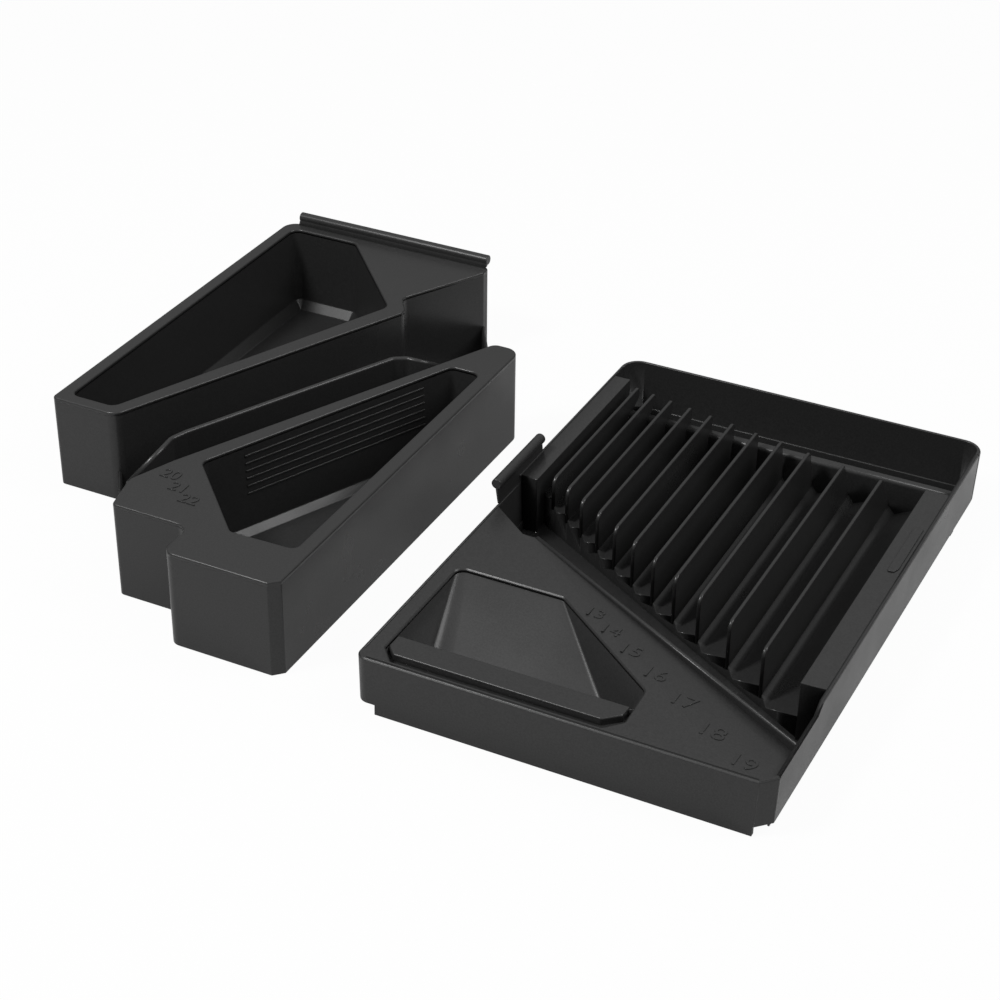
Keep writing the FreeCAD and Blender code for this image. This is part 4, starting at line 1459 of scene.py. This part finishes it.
@dataclass
class Studio:
    """White table, two lamps, pale surroundings and the camera."""

    lens_mm: float = 81.65
    sensor_mm: float = 36.0
    camera_mm: tuple[float, float, float] = (461.23, -923.69, 667.0)
    right: tuple[float, float, float] = (0.89389, 0.44818, 0.00991)
    up: tuple[float, float, float] = (-0.24729, 0.47453, 0.84479)
    back: tuple[float, float, float] = (0.37391, -0.75760, 0.53501)
    lamps: tuple[SoftBox, ...] = (
        SoftBox("key", place=(-0.55, -0.70, 1.18), width=0.3, depth=0.3, watts=15.0),
        SoftBox("right_high", place=(0.85, 0.22, 0.95), width=0.4, depth=0.8, watts=7.0),
    )
    clip_end: float = 20.0
    table_half: float = 15.0
    table_drop_mm: float = 0.2
    table_white: float = 0.96
    table_mirrored: float = 0.22
    room_mirrored: float = 0.12
    ceiling_level: float = 0.85
    wall_level: float = 0.07
    wall_height: float = 0.28

    def whiteness(self, tree: bpy.types.NodeTree, seen: float, mirrored: float) -> bpy.types.NodeSocket:
        """Share of plain white that a ray meets on the background.

        Args:
            tree: the background's node tree.
            seen: share for the camera and for rays through clear material.
            mirrored: share for rays that the black plastic mirrors.

        Returns:
            The share.
        """
        path = add_node(tree, "ShaderNodeLightPath")
        direct = add_node(tree, "ShaderNodeMath", settings={"operation": "MAXIMUM"})
        tree.links.new(path.outputs["Is Camera Ray"], direct.inputs[0])
        tree.links.new(path.outputs["Is Transmission Ray"], direct.inputs[1])
        shown = add_node(tree, "ShaderNodeMath", settings={"operation": "MULTIPLY"})
        tree.links.new(direct.outputs["Value"], shown.inputs[0])
        shown.inputs[1].default_value = seen
        glossy = add_node(tree, "ShaderNodeMath", settings={"operation": "MULTIPLY"})
        tree.links.new(path.outputs["Is Glossy Ray"], glossy.inputs[0])
        glossy.inputs[1].default_value = mirrored
        either = add_node(tree, "ShaderNodeMath", settings={"operation": "MAXIMUM"})
        tree.links.new(shown.outputs["Value"], either.inputs[0])
        tree.links.new(glossy.outputs["Value"], either.inputs[1])
        return either.outputs["Value"]

    def floor_material(self) -> bpy.types.Material:
        """Makes a table that shows white to the eye and keeps the trays' faint shadow.

        Returns:
            The material.
        """
        mat = bpy.data.materials.new("white_table")
        mat.use_nodes = True
        tree = mat.node_tree
        tree.nodes.clear()
        diffuse = add_node(tree, "ShaderNodeBsdfDiffuse", inputs={"Color": linear("c8c8c8")})
        glow = add_node(tree, "ShaderNodeEmission", inputs={"Color": linear("ffffff"), "Strength": 1.0})
        share = self.whiteness(tree, self.table_white, self.table_mirrored)
        mix = add_node(tree, "ShaderNodeMixShader", inputs={"Fac": share})
        tree.links.new(diffuse.outputs["BSDF"], mix.inputs[1])
        tree.links.new(glow.outputs["Emission"], mix.inputs[2])
        add_node(tree, "ShaderNodeOutputMaterial", inputs={"Surface": mix.outputs["Shader"]})
        return mat

    def floor(self) -> None:
        """Adds the table under the trays."""
        bm = bmesh.new()
        bmesh.ops.create_grid(bm, x_segments=1, y_segments=1, size=self.table_half)
        bmesh.ops.translate(bm, verts=bm.verts[:], vec=(0.0, 0.0, -self.table_drop_mm * MM))
        mesh = bpy.data.meshes.new("table")
        bm.to_mesh(mesh)
        bm.free()
        mesh.materials.append(self.floor_material())
        table = bpy.data.objects.new("table", mesh)
        bpy.context.scene.collection.objects.link(table)

    def world(self) -> None:
        """Adds the surroundings: white to the camera, dim grey to the plastic."""
        world = bpy.data.worlds.new("pale_room")
        bpy.context.scene.world = world
        world.use_nodes = True
        tree = world.node_tree
        tree.nodes.clear()
        # Bright overhead and dim at the walls, as in a room with a lit ceiling
        facing = add_node(tree, "ShaderNodeNewGeometry").outputs["Incoming"]
        height = add_node(tree, "ShaderNodeSeparateXYZ", inputs={"Vector": facing}).outputs["Z"]
        level = add_node(
            tree,
            "ShaderNodeMapRange",
            inputs={
                "Value": height,
                "From Min": -1.0,
                "From Max": -self.wall_height,
                "To Min": self.ceiling_level,
                "To Max": self.wall_level,
            },
        )
        plain = linear("ffffff")
        strength = level.outputs["Result"]
        dim = add_node(tree, "ShaderNodeBackground", inputs={"Color": plain, "Strength": strength})
        white = add_node(tree, "ShaderNodeBackground", inputs={"Color": plain, "Strength": 1.0})
        share = self.whiteness(tree, 1.0, self.room_mirrored)
        mix = add_node(tree, "ShaderNodeMixShader", inputs={"Fac": share})
        tree.links.new(dim.outputs["Background"], mix.inputs[1])
        tree.links.new(white.outputs["Background"], mix.inputs[2])
        add_node(tree, "ShaderNodeOutputWorld", inputs={"Surface": mix.outputs["Shader"]})

    def camera(self) -> None:
        """Adds the camera at the photograph's place."""
        data = bpy.data.cameras.new("camera")
        data.lens = self.lens_mm
        data.sensor_width = self.sensor_mm
        data.clip_end = self.clip_end
        camera = bpy.data.objects.new("camera", data)
        turn = Matrix((self.right, self.up, self.back)).transposed().to_4x4()
        camera.matrix_world = Matrix.Translation(Vector(self.camera_mm) * MM) @ turn
        bpy.context.scene.collection.objects.link(camera)
        bpy.context.scene.camera = camera

    def build(self) -> None:
        """Adds everything that isn't part of the trays."""
        self.floor()
        self.world()
        for lamp in self.lamps:
            lamp.build()
        self.camera()
        bpy.context.scene.view_settings.view_transform = "Standard"


def main() -> None:
    """Builds the dressed trays and the studio."""
    logging.basicConfig(level=logging.INFO, format="%(name)s: %(message)s")
    materials = {finish: finish.value.material() for finish in Finish}
    BottomTray().build(materials)
    TopTray().build(materials)
    Mouldings(materials).build()
    SizeNumbers(materials).build()
    Studio().build()


if __name__ == "__main__":
    main()
